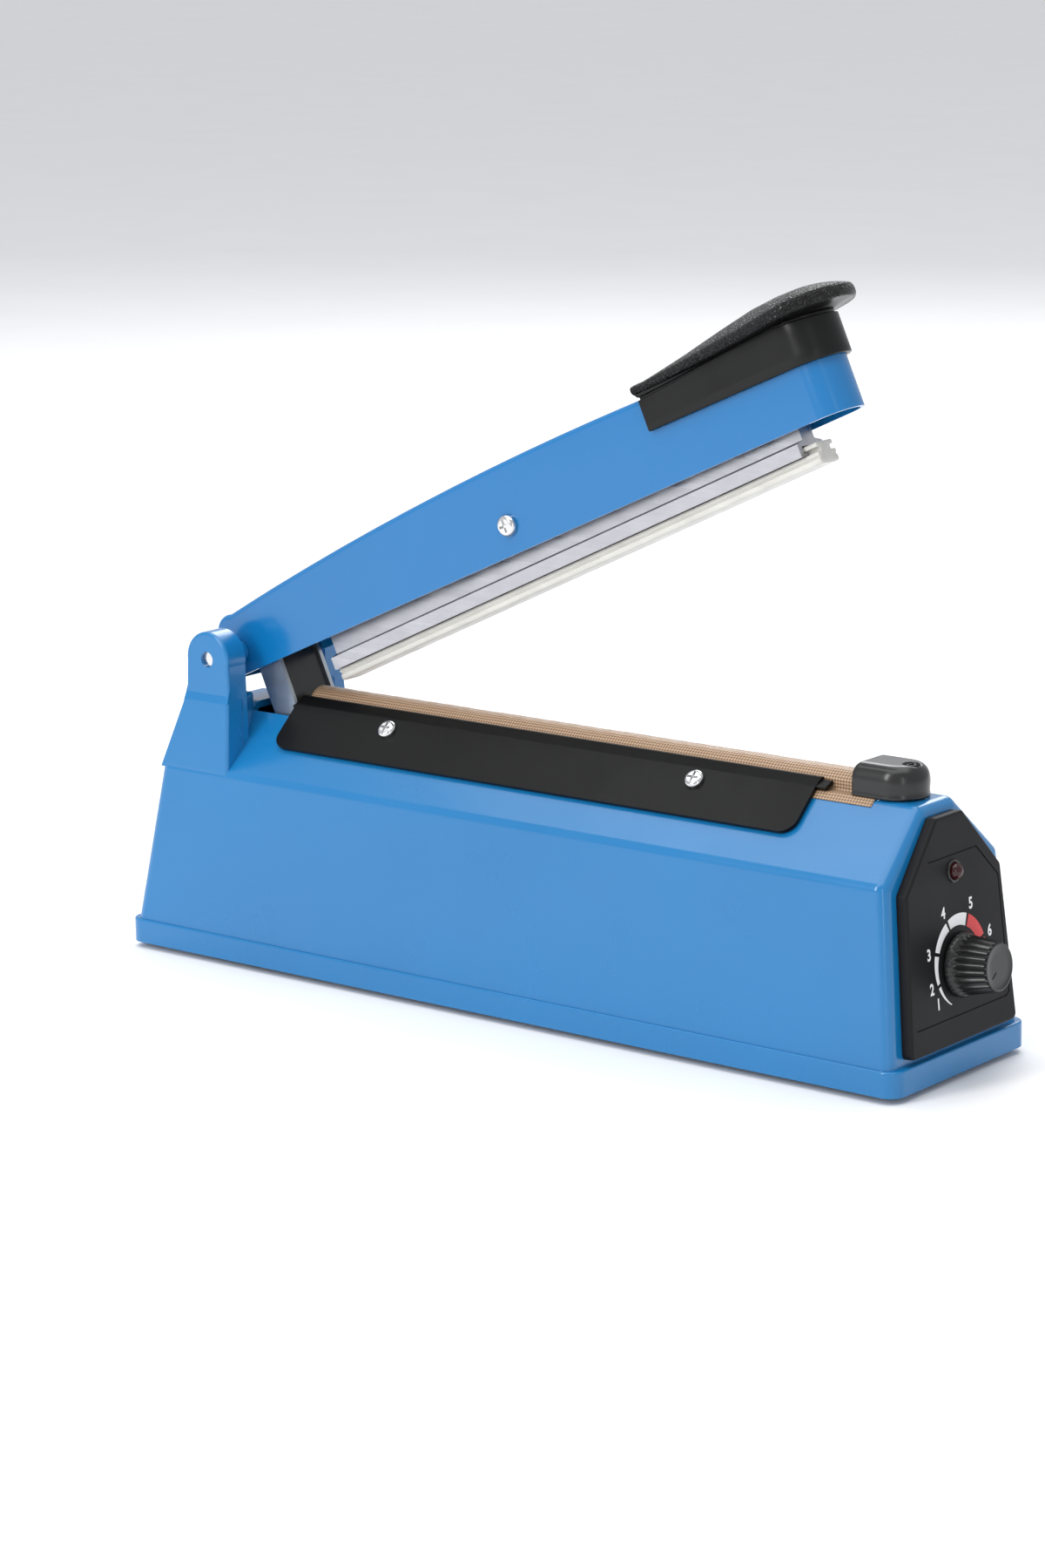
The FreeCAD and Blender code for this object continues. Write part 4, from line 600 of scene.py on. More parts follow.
class Paints:
    """Every finish on the machine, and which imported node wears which."""

    shell = Moulded("blue_moulding", (0.006, 0.165, 0.41), 0.24, 1300.0, 0.004, 0.035, 0.25)
    enamel = Moulded("blue_enamel", (0.004, 0.152, 0.40), 0.2, 900.0, 0.004, 0.03, 0.25)
    panel = Moulded("panel_satin", (0.011, 0.011, 0.012), 0.5, 3200.0, 0.025, 0.1)
    gloss = Moulded("black_gloss", (0.004, 0.004, 0.005), 0.2, 1600.0, 0.006, 0.1)
    clamp = Moulded("stoved_black", (0.005, 0.005, 0.005), 0.3, 1900.0, 0.01, 0.15)
    grip = Grained("grip_leather", (0.004, 0.004, 0.004), 0.34)
    rubber = Moulded("foot_rubber", (0.028, 0.027, 0.026), 0.7, 2400.0, 0.04, 0.15)
    nylon = Moulded("black_nylon", (0.016, 0.016, 0.018), 0.36, 1700.0, 0.015, 0.1)
    white_nylon = Moulded("white_nylon", (0.70, 0.69, 0.64), 0.42, 1700.0, 0.015, 0.05)
    phenolic = Moulded("phenolic", (0.30, 0.17, 0.08), 0.5, 1200.0, 0.04, 0.25)
    board = Moulded("board_green", (0.03, 0.17, 0.07), 0.3, 900.0, 0.02, 0.25)
    wire = Moulded("wire_red", (0.42, 0.03, 0.02), 0.35, 1500.0, 0.01, 0.08)
    white_print = Moulded("print_white", (0.80, 0.80, 0.81), 0.45, 2600.0, 0.01, 0.04)
    red_print = Moulded("print_red", (0.62, 0.03, 0.035), 0.45, 2600.0, 0.01, 0.06)
    groove = Moulded("pointer_black", (0.006, 0.006, 0.006), 0.5, 2600.0, 0.01, 0.04)
    zinc = Metal("bright_zinc", (0.46, 0.50, 0.54), 0.36, Streak.UPRIGHT, 0.0, 0.004, 0.16)
    steel = Metal("plain_steel", (0.55, 0.55, 0.55), 0.3)
    nickel = Metal("nickel_screw", (0.72, 0.72, 0.72), 0.16, Streak.NONE, 0.0, 0.006, 0.08)
    alloy = Metal("drawn_alloy", (0.50, 0.50, 0.53), 0.3, Streak.ALONG, 24.8, 0.03, 0.06)
    ridge_alloy = Metal("ridge_alloy", (0.66, 0.66, 0.68), 0.34, Streak.ALONG, 0.0, 0.02)
    strip = Metal("heating_strip", (0.60, 0.58, 0.55), 0.25, Streak.ALONG)
    brass = Metal("brass", (0.72, 0.52, 0.22), 0.26)
    cloth = Woven("coated_cloth", (0.27, 0.145, 0.075), 0.46)
    tape = Woven("glass_tape", (0.40, 0.27, 0.16), 0.6, 0.8)
    silicone = Clear("milky_silicone", (0.66, 0.645, 0.60), 0.38, 1.6)
    lens = Clear("red_lens", (0.035, 0.001, 0.001), 0.1, 0.0, 0.1)
    copper = Banded("copper_winding", (0.60, 0.24, 0.09), 0.3, 1400.0, (0.0, 0.0, 1.0), 1.0)
    iron = Banded("iron_sheets", (0.12, 0.12, 0.13), 0.45, 2000.0, (0.0, 1.0, 0.0), 0.6)

    worn_by: dict[str, Finish] = {
        "housing": shell, "base_plate": zinc, "rubber_feet": rubber, "base_screws": nickel,
        "cord_grommet": rubber, "terminal_block": white_nylon, "inner_wires": wire,
        "sealing_bar": ridge_alloy, "bar_blocks": phenolic, "bar_block_screws": steel,
        "insulating_tape": tape, "heating_element": strip, "clamp_plate_near": clamp,
        "clamp_plate_far": clamp, "clamp_screws": nickel, "terminal_cover": gloss,
        "cover_screw": clamp, "front_terminal": brass, "rear_terminal": brass, "hinge_pin": nickel,
        "hinge_spacers": enamel, "spring_post": zinc, "micro_switch": nylon, "switch_bracket": zinc,
        "switch_screws": steel, "switch_plunger": white_nylon, "transformer_core": iron,
        "transformer_bobbin": white_nylon, "transformer_winding": copper,
        "transformer_bracket": zinc, "transformer_screws": steel, "control_panel": panel,
        "timer_control": steel, "timer_board": board, "board_capacitors": nylon,
        "board_relay": nylon, "board_posts": white_nylon, "indicator_lamp": lens,
        "knob_shaft": steel, "arm_channel": enamel, "pad_screws": nickel, "arm_bracket": zinc,
        "bracket_block": gloss, "spring_hook": steel, "bar_screw": nickel, "bar_nut": nickel,
        "bar_extrusion": alloy,
    }


# ---------------------------------------------------------------- surfaces


def grid_faces(rows: int, columns: int, around: bool) -> Array:
    """Quads between neighbours on a grid of points.

    Args:
        rows: points down the grid.
        columns: points along each row.
        around: whether a row's last point joins its first.

    Returns:
        (n, 4) point numbers, row by row.
    """
    row = np.arange(rows - 1)[:, None] * columns
    here = np.arange(columns if around else columns - 1)[None, :]
    ahead = (here + 1) % columns
    below = row + columns
    return np.stack([row + here, row + ahead, below + ahead, below + here], -1).reshape(-1, 4)


def end_points(grid: Array) -> list[Array]:
    """Rows that draw the two ends of a grid together to a point, which closes them.

    Args:
        grid: (n, k, 3) points.

    Returns:
        The (1, k, 3) rows for before and after it.
    """
    return [np.repeat(grid[k].mean(0)[None, None], grid.shape[1], 1) for k in (0, -1)]


def make_piece(name: str, points: Array, faces: Array, finish: Finish, uv: Array | None = None,
               closed: bool = True, crease: float = 40.0,
               grain: Array | None = None) -> bpy.types.Object:
    """Turn points and quads into an object at the origin, with doubles merged and faces outward.

    Args:
        name: the piece's name.
        points: (n, 3) places in metres.
        faces: (m, 4) point numbers.
        finish: what it is made of.
        uv: (n, 2) flat coordinates of the points.
        closed: whether to merge doubles and turn the faces outward.
        crease: degrees past which an edge is drawn sharp.
        grain: (n,) share of grain at each point, kept as an attribute.

    Returns:
        The object.
    """
    mesh = bpy.data.meshes.new(name)
    mesh.from_pydata(points.reshape(-1, 3).tolist(), [], faces.tolist())
    if uv is not None:
        layer = mesh.uv_layers.new(name="flat")
        corners = np.zeros(len(mesh.loops), np.int32)
        mesh.loops.foreach_get("vertex_index", corners)
        layer.data.foreach_set("uv", uv.reshape(-1, 2)[corners].astype(np.float32).ravel())
    if grain is not None:
        mask = mesh.attributes.new("grain", "FLOAT", "POINT")
        mask.data.foreach_set("value", grain.astype(np.float32))
    if closed:
        tidy = bmesh.new()
        tidy.from_mesh(mesh)
        bmesh.ops.remove_doubles(tidy, verts=tidy.verts, dist=2e-6)
        bmesh.ops.dissolve_degenerate(tidy, edges=tidy.edges, dist=1e-7)
        bmesh.ops.recalc_face_normals(tidy, faces=tidy.faces)
        tidy.to_mesh(mesh)
        tidy.free()
    mesh.shade_smooth()
    mesh.set_sharp_from_angle(angle=math.radians(crease))
    mesh.materials.append(finish.make())
    piece = bpy.data.objects.new(name, mesh)
    bpy.context.scene.collection.objects.link(piece)
    log.info("built %s, %d faces", name, len(mesh.polygons))
    return piece


def settle(piece: bpy.types.Object, body: Body, slot: str, *nodes: str) -> bpy.types.Object:
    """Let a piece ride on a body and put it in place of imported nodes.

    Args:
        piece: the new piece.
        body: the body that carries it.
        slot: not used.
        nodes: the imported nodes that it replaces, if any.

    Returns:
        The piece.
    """
    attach(piece, body.value)
    if nodes:
        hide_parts(*nodes)
    return piece


def sweep(path: Array, aside: Array, radius: float, sides: int = 12) -> tuple[Array, Array]:
    """A round tube along a path: each ring is radius times (cosine of aside plus sine of the third
    direction), both square to the path. Its ends are drawn together to a point.

    Args:
        path: (n, 3) middle line.
        aside: (n, 3) directions that are nowhere along the path.
        radius: the tube's radius.
        sides: points round the tube.

    Returns:
        Points and quads.
    """
    ahead = np.gradient(path, axis=0)
    ahead /= np.linalg.norm(ahead, axis=1, keepdims=True)
    first = aside - (aside * ahead).sum(1, keepdims=True) * ahead
    first /= np.linalg.norm(first, axis=1, keepdims=True)
    second = np.cross(ahead, first)
    turn = np.linspace(0, math.tau, sides, endpoint=False)[None, :, None]
    rings = path[:, None] + radius * (np.cos(turn) * first[:, None] + np.sin(turn) * second[:, None])
    caps = [np.repeat(path[k][None, None], sides, 1) for k in (0, -1)]
    rings = np.concatenate([caps[0], rings, caps[1]])
    return rings, grid_faces(len(rings), sides, True)


def prism(half_section: Array, stations: Array, swell: Array) -> tuple[Array, Array]:
    """A bar with a mirrored section: the half section runs from the top middle to the bottom middle,
    and its mirror image closes it. Each station scales the section by its swell, and the two ends
    are drawn level to the middle plane, which closes them flat.

    Args:
        half_section: (k, 2) across and up.
        stations: (n,) places along.
        swell: (n,) scale of the section's width at each station.

    Returns:
        Points and quads.
    """
    mirror = half_section[::-1][1:-1] * np.array([-1.0, 1.0])
    loop = np.concatenate([half_section, mirror])
    along = np.concatenate([stations[:1], stations, stations[-1:]])
    width = np.concatenate([[0.0], swell, [0.0]])
    across = loop[None, :, 0] * width[:, None]
    up = np.broadcast_to(loop[None, :, 1], across.shape)
    grid = np.stack([np.broadcast_to(along[:, None], across.shape), across, up], -1)
    return grid, grid_faces(len(along), len(loop), True)


# ---------------------------------------------------------------- sub-assemblies


@dataclass
class HandlePad:
    """The black grip: a skirt round the arm's nose, a groove, and a drop-shaped grained cap.

    Args:
        rear: where the cap starts along the arm.
        skirt_rear: where the skirt starts.
        reach: centre of the cap's round front.
        half: half width of the cap there.
        rear_half: half width of the cap at its rear.
        skirt_reach: centre of the skirt's round front.
        skirt_half: half widths of the skirt's outside, at the rear and at the front.
        inner_half: half widths of its inside.
        crown: heights of the cap's ridge along the arm.
        lip: heights of the cap's lower edge.
        rim: thickness of the cap's round edge.
        shelf: heights where the skirt meets the hollow under the cap.
    """

    seat: Seat
    rear: float = 183.6
    skirt_rear: float = 185.2
    reach: float = 243.0
    half: float = 16.4
    rear_half: float = 11.5
    skirt_low: tuple = ((185.0, 9.4), (253.0, 8.5))
    skirt_reach: float = 241.5
    skirt_half: tuple[float, float] = (11.55, 10.8)
    inner_half: tuple[float, float] = (9.93, 9.16)
    crown: tuple = ((181.0, 24.0), (189.0, 25.2), (203.0, 27.0), (217.0, 29.0), (230.0, 30.5),
                    (240.0, 30.7), (250.0, 29.9))
    lip: tuple = ((181.0, 20.8), (205.0, 21.3), (228.0, 21.9), (245.0, 22.7), (260.0, 23.1))
    rim: tuple = ((183.0, 2.5), (215.0, 3.1), (245.0, 3.7), (260.0, 4.1))
    shelf: tuple = ((181.0, 18.9), (200.0, 19.6), (221.0, 20.9), (238.0, 21.7), (252.0, 20.6))
    curl_reach: float = 4.0
    curl_rise: float = 0.35
    cap_low: float = 20.5
    bulge: float = 0.9

    def loops(self) -> dict[str, Array]:
        """Plan outlines of the cap and the skirt with the spine that they close on.

        The outline runs from the rear up one side (width by a smooth step from rear_half to half),
        round the front half circle, back along the other side and across the rear.

        Returns:
            The (k, 2) loops rim, skirt, inner and spine, point for point.
        """
        share = np.linspace(0.0, 1.0, 56)[:-1]
        ease = share * share * (3 - 2 * share) * 0.35 + share * 0.65
        fan = np.linspace(-math.pi / 2, math.pi / 2, 45)
        across = np.linspace(1.0, -1.0, 25)[1:-1]

        def outline(start: float, centre: float, wide_rear: float, wide: float) -> Array:
            """One loop: side, front half circle, other side, rear edge.

            Args:
                start: its rear.
                centre: centre of its front.
                wide_rear: half width at the rear.
                wide: half width at the front.

            Returns:
                (k, 2) along and across.
            """
            along = start + (centre - start) * share
            width = wide_rear + (wide - wide_rear) * ease
            side = np.stack([along, -width], 1)
            front = np.stack([centre + wide * np.cos(fan), wide * np.sin(fan)], 1)
            back = side[::-1] * np.array([1.0, -1.0])
            bow = 0.5 * (1 - across ** 2)
            rear = np.stack([start - bow, across * wide_rear], 1)
            return np.concatenate([side, front, back, rear])

        rim = outline(self.rear, self.reach, self.rear_half, self.half)
        skirt = outline(self.skirt_rear, self.skirt_reach, *self.skirt_half)
        inner = outline(self.skirt_rear + 0.4, self.skirt_reach, *self.inner_half)
        spine = rim.copy()
        spine[:, 0] = np.clip(rim[:, 0], self.rear + 2.0, self.reach)
        spine[:, 1] = 0.0
        return {"rim": rim, "skirt": skirt, "inner": inner, "spine": spine}

    def build(self) -> bpy.types.Object:
        """Carry a profile round the loops: up the skirt, into the groove, out along the hollow under
        the lip, round the rim and over the crown to the spine.

        Returns:
            The grip.
        """
        loops = self.loops()
        rim, skirt, inner, spine = (loops[k] for k in ("rim", "skirt", "inner", "spine"))
        along = rim[:, 0]
        lip = np.interp(along, *zip(*self.lip))
        shelf = np.interp(skirt[:, 0], *zip(*self.shelf))
        low = np.interp(skirt[:, 0], *zip(*self.skirt_low))
        overhang = np.linalg.norm(rim - skirt, axis=1)
        rings: list[tuple[Array, Array, float]] = []

        def ring(plan: Array, height: Array | float, grain: float = 0.0) -> None:
            """Keep one ring of the profile.

            Args:
                plan: (k, 2) along and across.
                height: its height, or the height of each point.
                grain: 1 where the surface has pebbles.
            """
            rings.append((plan, np.broadcast_to(height, along.shape), grain))

        arm_top = self.arm_top(skirt[:, 0])
        ring(spine, arm_top)
        ring(inner, arm_top)
        ring(inner, low + 0.3)
        ring(inner * 0.85 + skirt * 0.15, low)
        ring(inner * 0.15 + skirt * 0.85, low)
        ring(skirt, low + 0.3)
        for share in (0.25, 0.5, 0.75):
            ring(skirt, low + 0.3 + (shelf - low - 0.8) * share)
        ring(skirt, shelf - 0.45)
        ring(skirt * 0.97 + inner * 0.03, shelf - 0.12)
        ring(skirt * 0.75 + inner * 0.25, shelf)
        notch = np.minimum(0.9, (lip - shelf) * 0.4)
        ring(skirt * 0.45 + inner * 0.55, shelf + notch * 0.25)
        ring(skirt * 0.45 + inner * 0.55, shelf + notch)
        for turn in np.radians([12, 26, 40, 54, 68, 80]):
            out = 1 - math.cos(turn)
            rise = shelf + notch + (lip - shelf - notch) * math.sin(turn)
            ring(skirt + (rim - skirt) * (out * 0.93), rise)
        top = np.interp(spine[:, 0], *zip(*self.crown))
        rim_top = lip + np.interp(along, *zip(*self.rim))
        middle = (lip + rim_top) / 2
        reach = np.maximum(np.linalg.norm(rim - spine, axis=1), 1.0)
        for turn in np.radians(np.linspace(-80.0, 80.0, 9)):
            inward = self.bulge * (1 - math.cos(turn)) / reach
            plan = rim + (spine - rim) * inward[:, None]
            ring(plan, middle + (rim_top - middle) * math.sin(turn), 1.0)
        for share in (0.06, 0.12, 0.2, 0.3, 0.4, 0.52, 0.64, 0.76, 0.88, 1.0):
            plan = rim + (spine - rim) * (0.045 + 0.955 * share)
            swell = rim_top + (top - rim_top) * (1 - (1 - share) ** 2.1)
            ring(plan, swell, 1.0)
        grid = np.stack([np.column_stack([plan, height]) for plan, height, _ in rings])
        grain = np.repeat([g for _, _, g in rings], len(along))
        faces = grid_faces(len(rings), len(along), True)
        piece = make_piece("handle_grip", self.seat.place(self.upturn(grid)), faces, Paints.grip,
                           crease=60.0, grain=grain)
        log.info("grip overhang %.1f to %.1f mm", overhang.min(), overhang.max())
        return settle(piece, Body.ARM, "pad_black", "handle_pad")

    @staticmethod
    def arm_top(along: Array) -> Array:
        """Height of the arm's back under the grip, with a small gap: a straight rise less a shallow
        parabola that is level with it at the arm's middle.

        Args:
            along: places along the arm.

        Returns:
            Their heights.
        """
        return 12.3 + 0.06727 * along - 0.0003794 * along * (along - 110.0) + 0.25

    def upturn(self, grid: Array) -> Array:
        """Curl the cap's last millimetres at the rear: height rises by the square of what is left.

        Args:
            grid: (n, k, 3) points of the grip.

        Returns:
            The same points, those of the cap's rear raised.
        """
        lifted = grid.copy()
        left = np.clip((self.rear + self.curl_reach - grid[..., 0]) / self.curl_reach, 0.0, 1.2)
        cap = grid[..., 2] > self.cap_low
        lifted[..., 2] += np.where(cap, self.curl_rise * left ** 2, 0.0)
        return lifted


@dataclass
class SealingCloth:
    """The coated cloth stretched over the ridge, with a flap on each shoulder.

    Args:
        rear: its rear edge along the machine.
        ridge_front: where the part over the ridge ends.
        flap_front: where the flaps end.
        crown: radius of the ridge's round top.
        half: half width of the ridge.
        top: height of the ridge.
        shoulder: height of the shoulders beside it.
        shoulder_half: half width over the shoulders.
        flap_down: length of each flap down the slope.
        slope: fall and run of the housing's slope.
        lift: gap between the cloth's middle and what it lies on.
        fold: radius of the fold at the ridge's foot.
        thick: thickness of the cloth.
    """

    seat: Seat
    rear: float = -94.5
    ridge_front: float = 116.0
    flap_front: float = 124.9
    crown: float = 6.4
    half: float = 5.12
    top: float = 85.24
    shoulder: float = 79.3
    shoulder_half: float = 8.7
    flap_down: float = 2.8
    slope: tuple[float, float] = (19.3, 21.5)
    lift: float = 0.16
    fold: float = 0.7
    thick: float = 0.2

    def section(self) -> Array:
        """The cloth's line across the machine: up the near slope, over the shoulder, up the ridge's
        side, over its round crown and down again.

        Returns:
            (k, 2) across and up.
        """
        drop = self.crown - math.sqrt(self.crown ** 2 - self.half ** 2)
        slope = math.atan2(*self.slope)
        down = self.flap_down
        low = [-self.shoulder_half - down * math.cos(slope) - self.lift * math.sin(slope),
               self.shoulder - down * math.sin(slope) + self.lift * math.cos(slope)]
        turn = np.radians([90, 75, 60, 45, 30, 15, 0])
        level = self.shoulder + self.lift
        out, rise = self.fold * (1 - np.cos(turn)), self.fold * (1 - np.sin(turn))
        foot = np.stack([-self.half - out, level + rise], 1)
        lean = math.asin(self.half / self.crown)
        fan = np.linspace(-lean, lean, 27)
        arc = np.stack([self.crown * np.sin(fan), self.top - self.crown + self.crown * np.cos(fan)], 1)
        side = np.linspace([-self.half, self.shoulder + 0.9], [-self.half, self.top - drop - 0.1], 7)
        flap = np.linspace(low, [-self.shoulder_half - 0.06, self.shoulder + 0.14], 6)
        tread = np.linspace([-self.shoulder_half + 0.3, level], foot[0], 5)[:-1]
        near = np.concatenate([flap, tread, foot, side])
        far = near[::-1] * np.array([-1.0, 1.0])
        return np.concatenate([near, arc, far])

    def build(self) -> bpy.types.Object:
        """Carry the section along the ridge with small ripples, and leave the cloth out between the
        flaps in front of the ridge. The flat coordinates are lengths on the cloth, in millimetres.

        Returns:
            The cloth.
        """
        line = self.section()
        step = np.linalg.norm(np.diff(line, axis=0), axis=1)
        width = np.concatenate([[0.0], np.cumsum(step)])
        stations = np.concatenate([np.linspace(self.rear, self.ridge_front, 180),
                                   np.linspace(self.ridge_front, self.flap_front, 9)[1:]])
        along, _ = np.meshgrid(stations, width, indexing="ij")
        across = np.broadcast_to(line[:, 0], along.shape)
        up = np.broadcast_to(line[:, 1], along.shape)
        on_crown = np.clip((up - 83.0) / 2.0, 0.0, 1.0)
        long_wave = 0.05 * np.sin(along * 0.21 + 1.3) * np.sin(along * 0.057)
        ripple = long_wave + 0.03 * np.sin(along * 0.9 + across)
        grid = np.stack([along, across, up + ripple * on_crown], -1)
        faces = grid_faces(len(stations), len(width), False)
        middle = np.abs(grid.reshape(-1, 3)[faces][..., 1]).max(1) < self.half + 0.75
        ahead = grid.reshape(-1, 3)[faces][..., 0].min(1) > self.ridge_front - 0.01
        flat = np.stack([np.broadcast_to(width, along.shape), along], -1)
        kept = faces[~(middle & ahead)]
        piece = make_piece("sealing_cloth", self.seat.place(grid), kept, Paints.cloth, uv=flat, closed=False)
        wall = piece.modifiers.new("wall", "SOLIDIFY")
        wall.thickness = self.thick * MM
        wall.offset = 0.0
        flap = float(step[:10].sum())
        settle(piece, Body.BASE, "ptfe", "ptfe_cloth")
        return piece


@dataclass
class SiliconeStrip:
    """The soft strip in the press bar's slot, ribbed along its sides and cut square at its ends.

    Args:
        rear: its rear end along the bar.
        front: its front end.
        section: half of its section, across and up.
        wander: share by which its width wanders.
    """

    seat: Seat
    rear: float = -91.0
    front: float = 112.5
    section: tuple = ((0, -14.98), (3.7, -14.98), (4.05, -15.3), (4.05, -16.1), (3.8, -16.34),
                      (2.35, -16.4), (2.35, -17.8), (4.2, -17.84), (4.55, -18.1), (4.6, -18.8),
                      (4.1, -19.05), (4.0, -19.35), (4.15, -19.6), (4.6, -19.85), (4.6, -20.8),
                      (4.35, -21.35), (3.8, -21.58), (1.5, -21.46), (0, -21.42))
    wander: float = 0.004

    def build(self) -> bpy.types.Object:
        """Carry the half section along the bar, with a slow wander of the width.

        Returns:
            The strip.
        """
        middle = np.linspace(self.rear + 1.0, self.front - 1.0, 90)
        ends = ([self.rear, self.rear + 0.15], [self.front - 0.15, self.front])
        stations = np.concatenate([ends[0], middle, ends[1]])
        swell = 1 + self.wander * np.sin(stations * 0.13)
        swell[[0, -1]] = 0.965
        grid, faces = prism(np.array(self.section), stations, swell)
        piece = make_piece("silicone_lip", self.seat.place(grid), faces, Paints.silicone, crease=50.0)
        return settle(piece, Body.BAR, "silicone", "silicone_strip")


@dataclass
class DialKnob:
    """The fluted knob with a flared skirt and a short pointer mark on its flat face.

    Args:
        flutes: how many flutes it has.
        profile: places out from the panel and radii, from its bore to its face.
        mark_turn: degrees round the face where the mark lies.
        face: place of the face.
    """

    seat: Seat
    flutes: int = 24
    profile: tuple = ((0.55, 0.0), (0.55, 3.3), (0.55, 9.2), (0.7, 9.5), (1.0, 9.6), (1.9, 9.35),
                      (2.5, 9.05), (2.75, 8.85), (3.0, 8.75), (4.0, 8.62), (5.5, 8.42), (7.0, 8.2),
                      (8.5, 7.98), (10.0, 7.76), (11.3, 7.57), (12.2, 7.44), (12.7, 7.36),
                      (13.05, 7.24), (13.3, 7.02), (13.42, 6.75), (13.4, 6.45), (13.3, 6.2),
                      (13.28, 4.0), (13.28, 0.0))
    mark_turn: float = 214.0
    face: float = 13.29

    def build(self) -> list[bpy.types.Object]:
        """Turn a profile about the shaft. The radius is cut by the flutes: by depth times the size of
        the cosine of half the flute angle, so that the crests between them are sharp.

        Returns:
            The knob and its pointer.
        """
        profile = np.array(self.profile)
        depth = np.interp(profile[:, 0], [2.3, 3.2, 12.9, 13.3], [0.0, 0.85, 0.75, 0.0])
        depth *= profile[:, 1] > 6.9
        turn = np.linspace(0, math.tau, self.flutes * 16, endpoint=False)
        cut = np.abs(np.cos(turn * self.flutes / 2)) ** 0.8
        rim_cut = np.interp(profile[:, 0], [0.6, 0.8, 1.4, 2.2], [0.0, 0.22, 0.22, 0.0])
        rim_cut *= profile[:, 1] > 9.0
        notch = (np.cos(turn * self.flutes * 1.5) > 0.2).astype(float)
        radius = profile[:, None, 1] - depth[:, None] * cut - rim_cut[:, None] * notch
        out = np.broadcast_to(profile[:, None, 0], radius.shape)
        grid = np.stack([out, radius * np.cos(turn), radius * np.sin(turn)], -1)
        faces = grid_faces(len(profile), len(turn), True)
        knob = make_piece("fluted_knob", self.seat.place(grid), faces, Paints.gloss, crease=34.0)
        settle(knob, Body.KNOB, "black_gloss", "timer_knob")
        return [knob, self.pointer()]

    def pointer(self) -> bpy.types.Object:
        """The dark mark: a slim lens-shaped pad, highest in the middle, on the knob's face.

        Returns:
            The mark.
        """
        share = np.linspace(0.0, 1.0, 13)
        side = np.linspace(-1.0, 1.0, 7)
        reach, place = np.meshgrid(2.0 + 3.0 * share, side, indexing="ij")
        width = 0.32 * np.sqrt(np.clip(1 - (2 * share - 1) ** 4, 0, 1))[:, None] * place
        height = self.face + 0.05 * (1 - place ** 2)
        angle = math.radians(self.mark_turn)
        top = np.stack([height, reach * math.cos(angle) - width * math.sin(angle),
                        reach * math.sin(angle) + width * math.cos(angle)], -1)
        low = top - np.array([0.1, 0.0, 0.0])
        grid = np.concatenate([top, low[:, ::-1]], axis=1)
        ends = end_points(grid)
        grid = np.concatenate([ends[0], grid, ends[1]])
        faces = grid_faces(len(grid), grid.shape[1], True)
        piece = make_piece("pointer_groove", self.seat.place(grid), faces, Paints.groove)
        return settle(piece, Body.KNOB, "black_gloss")


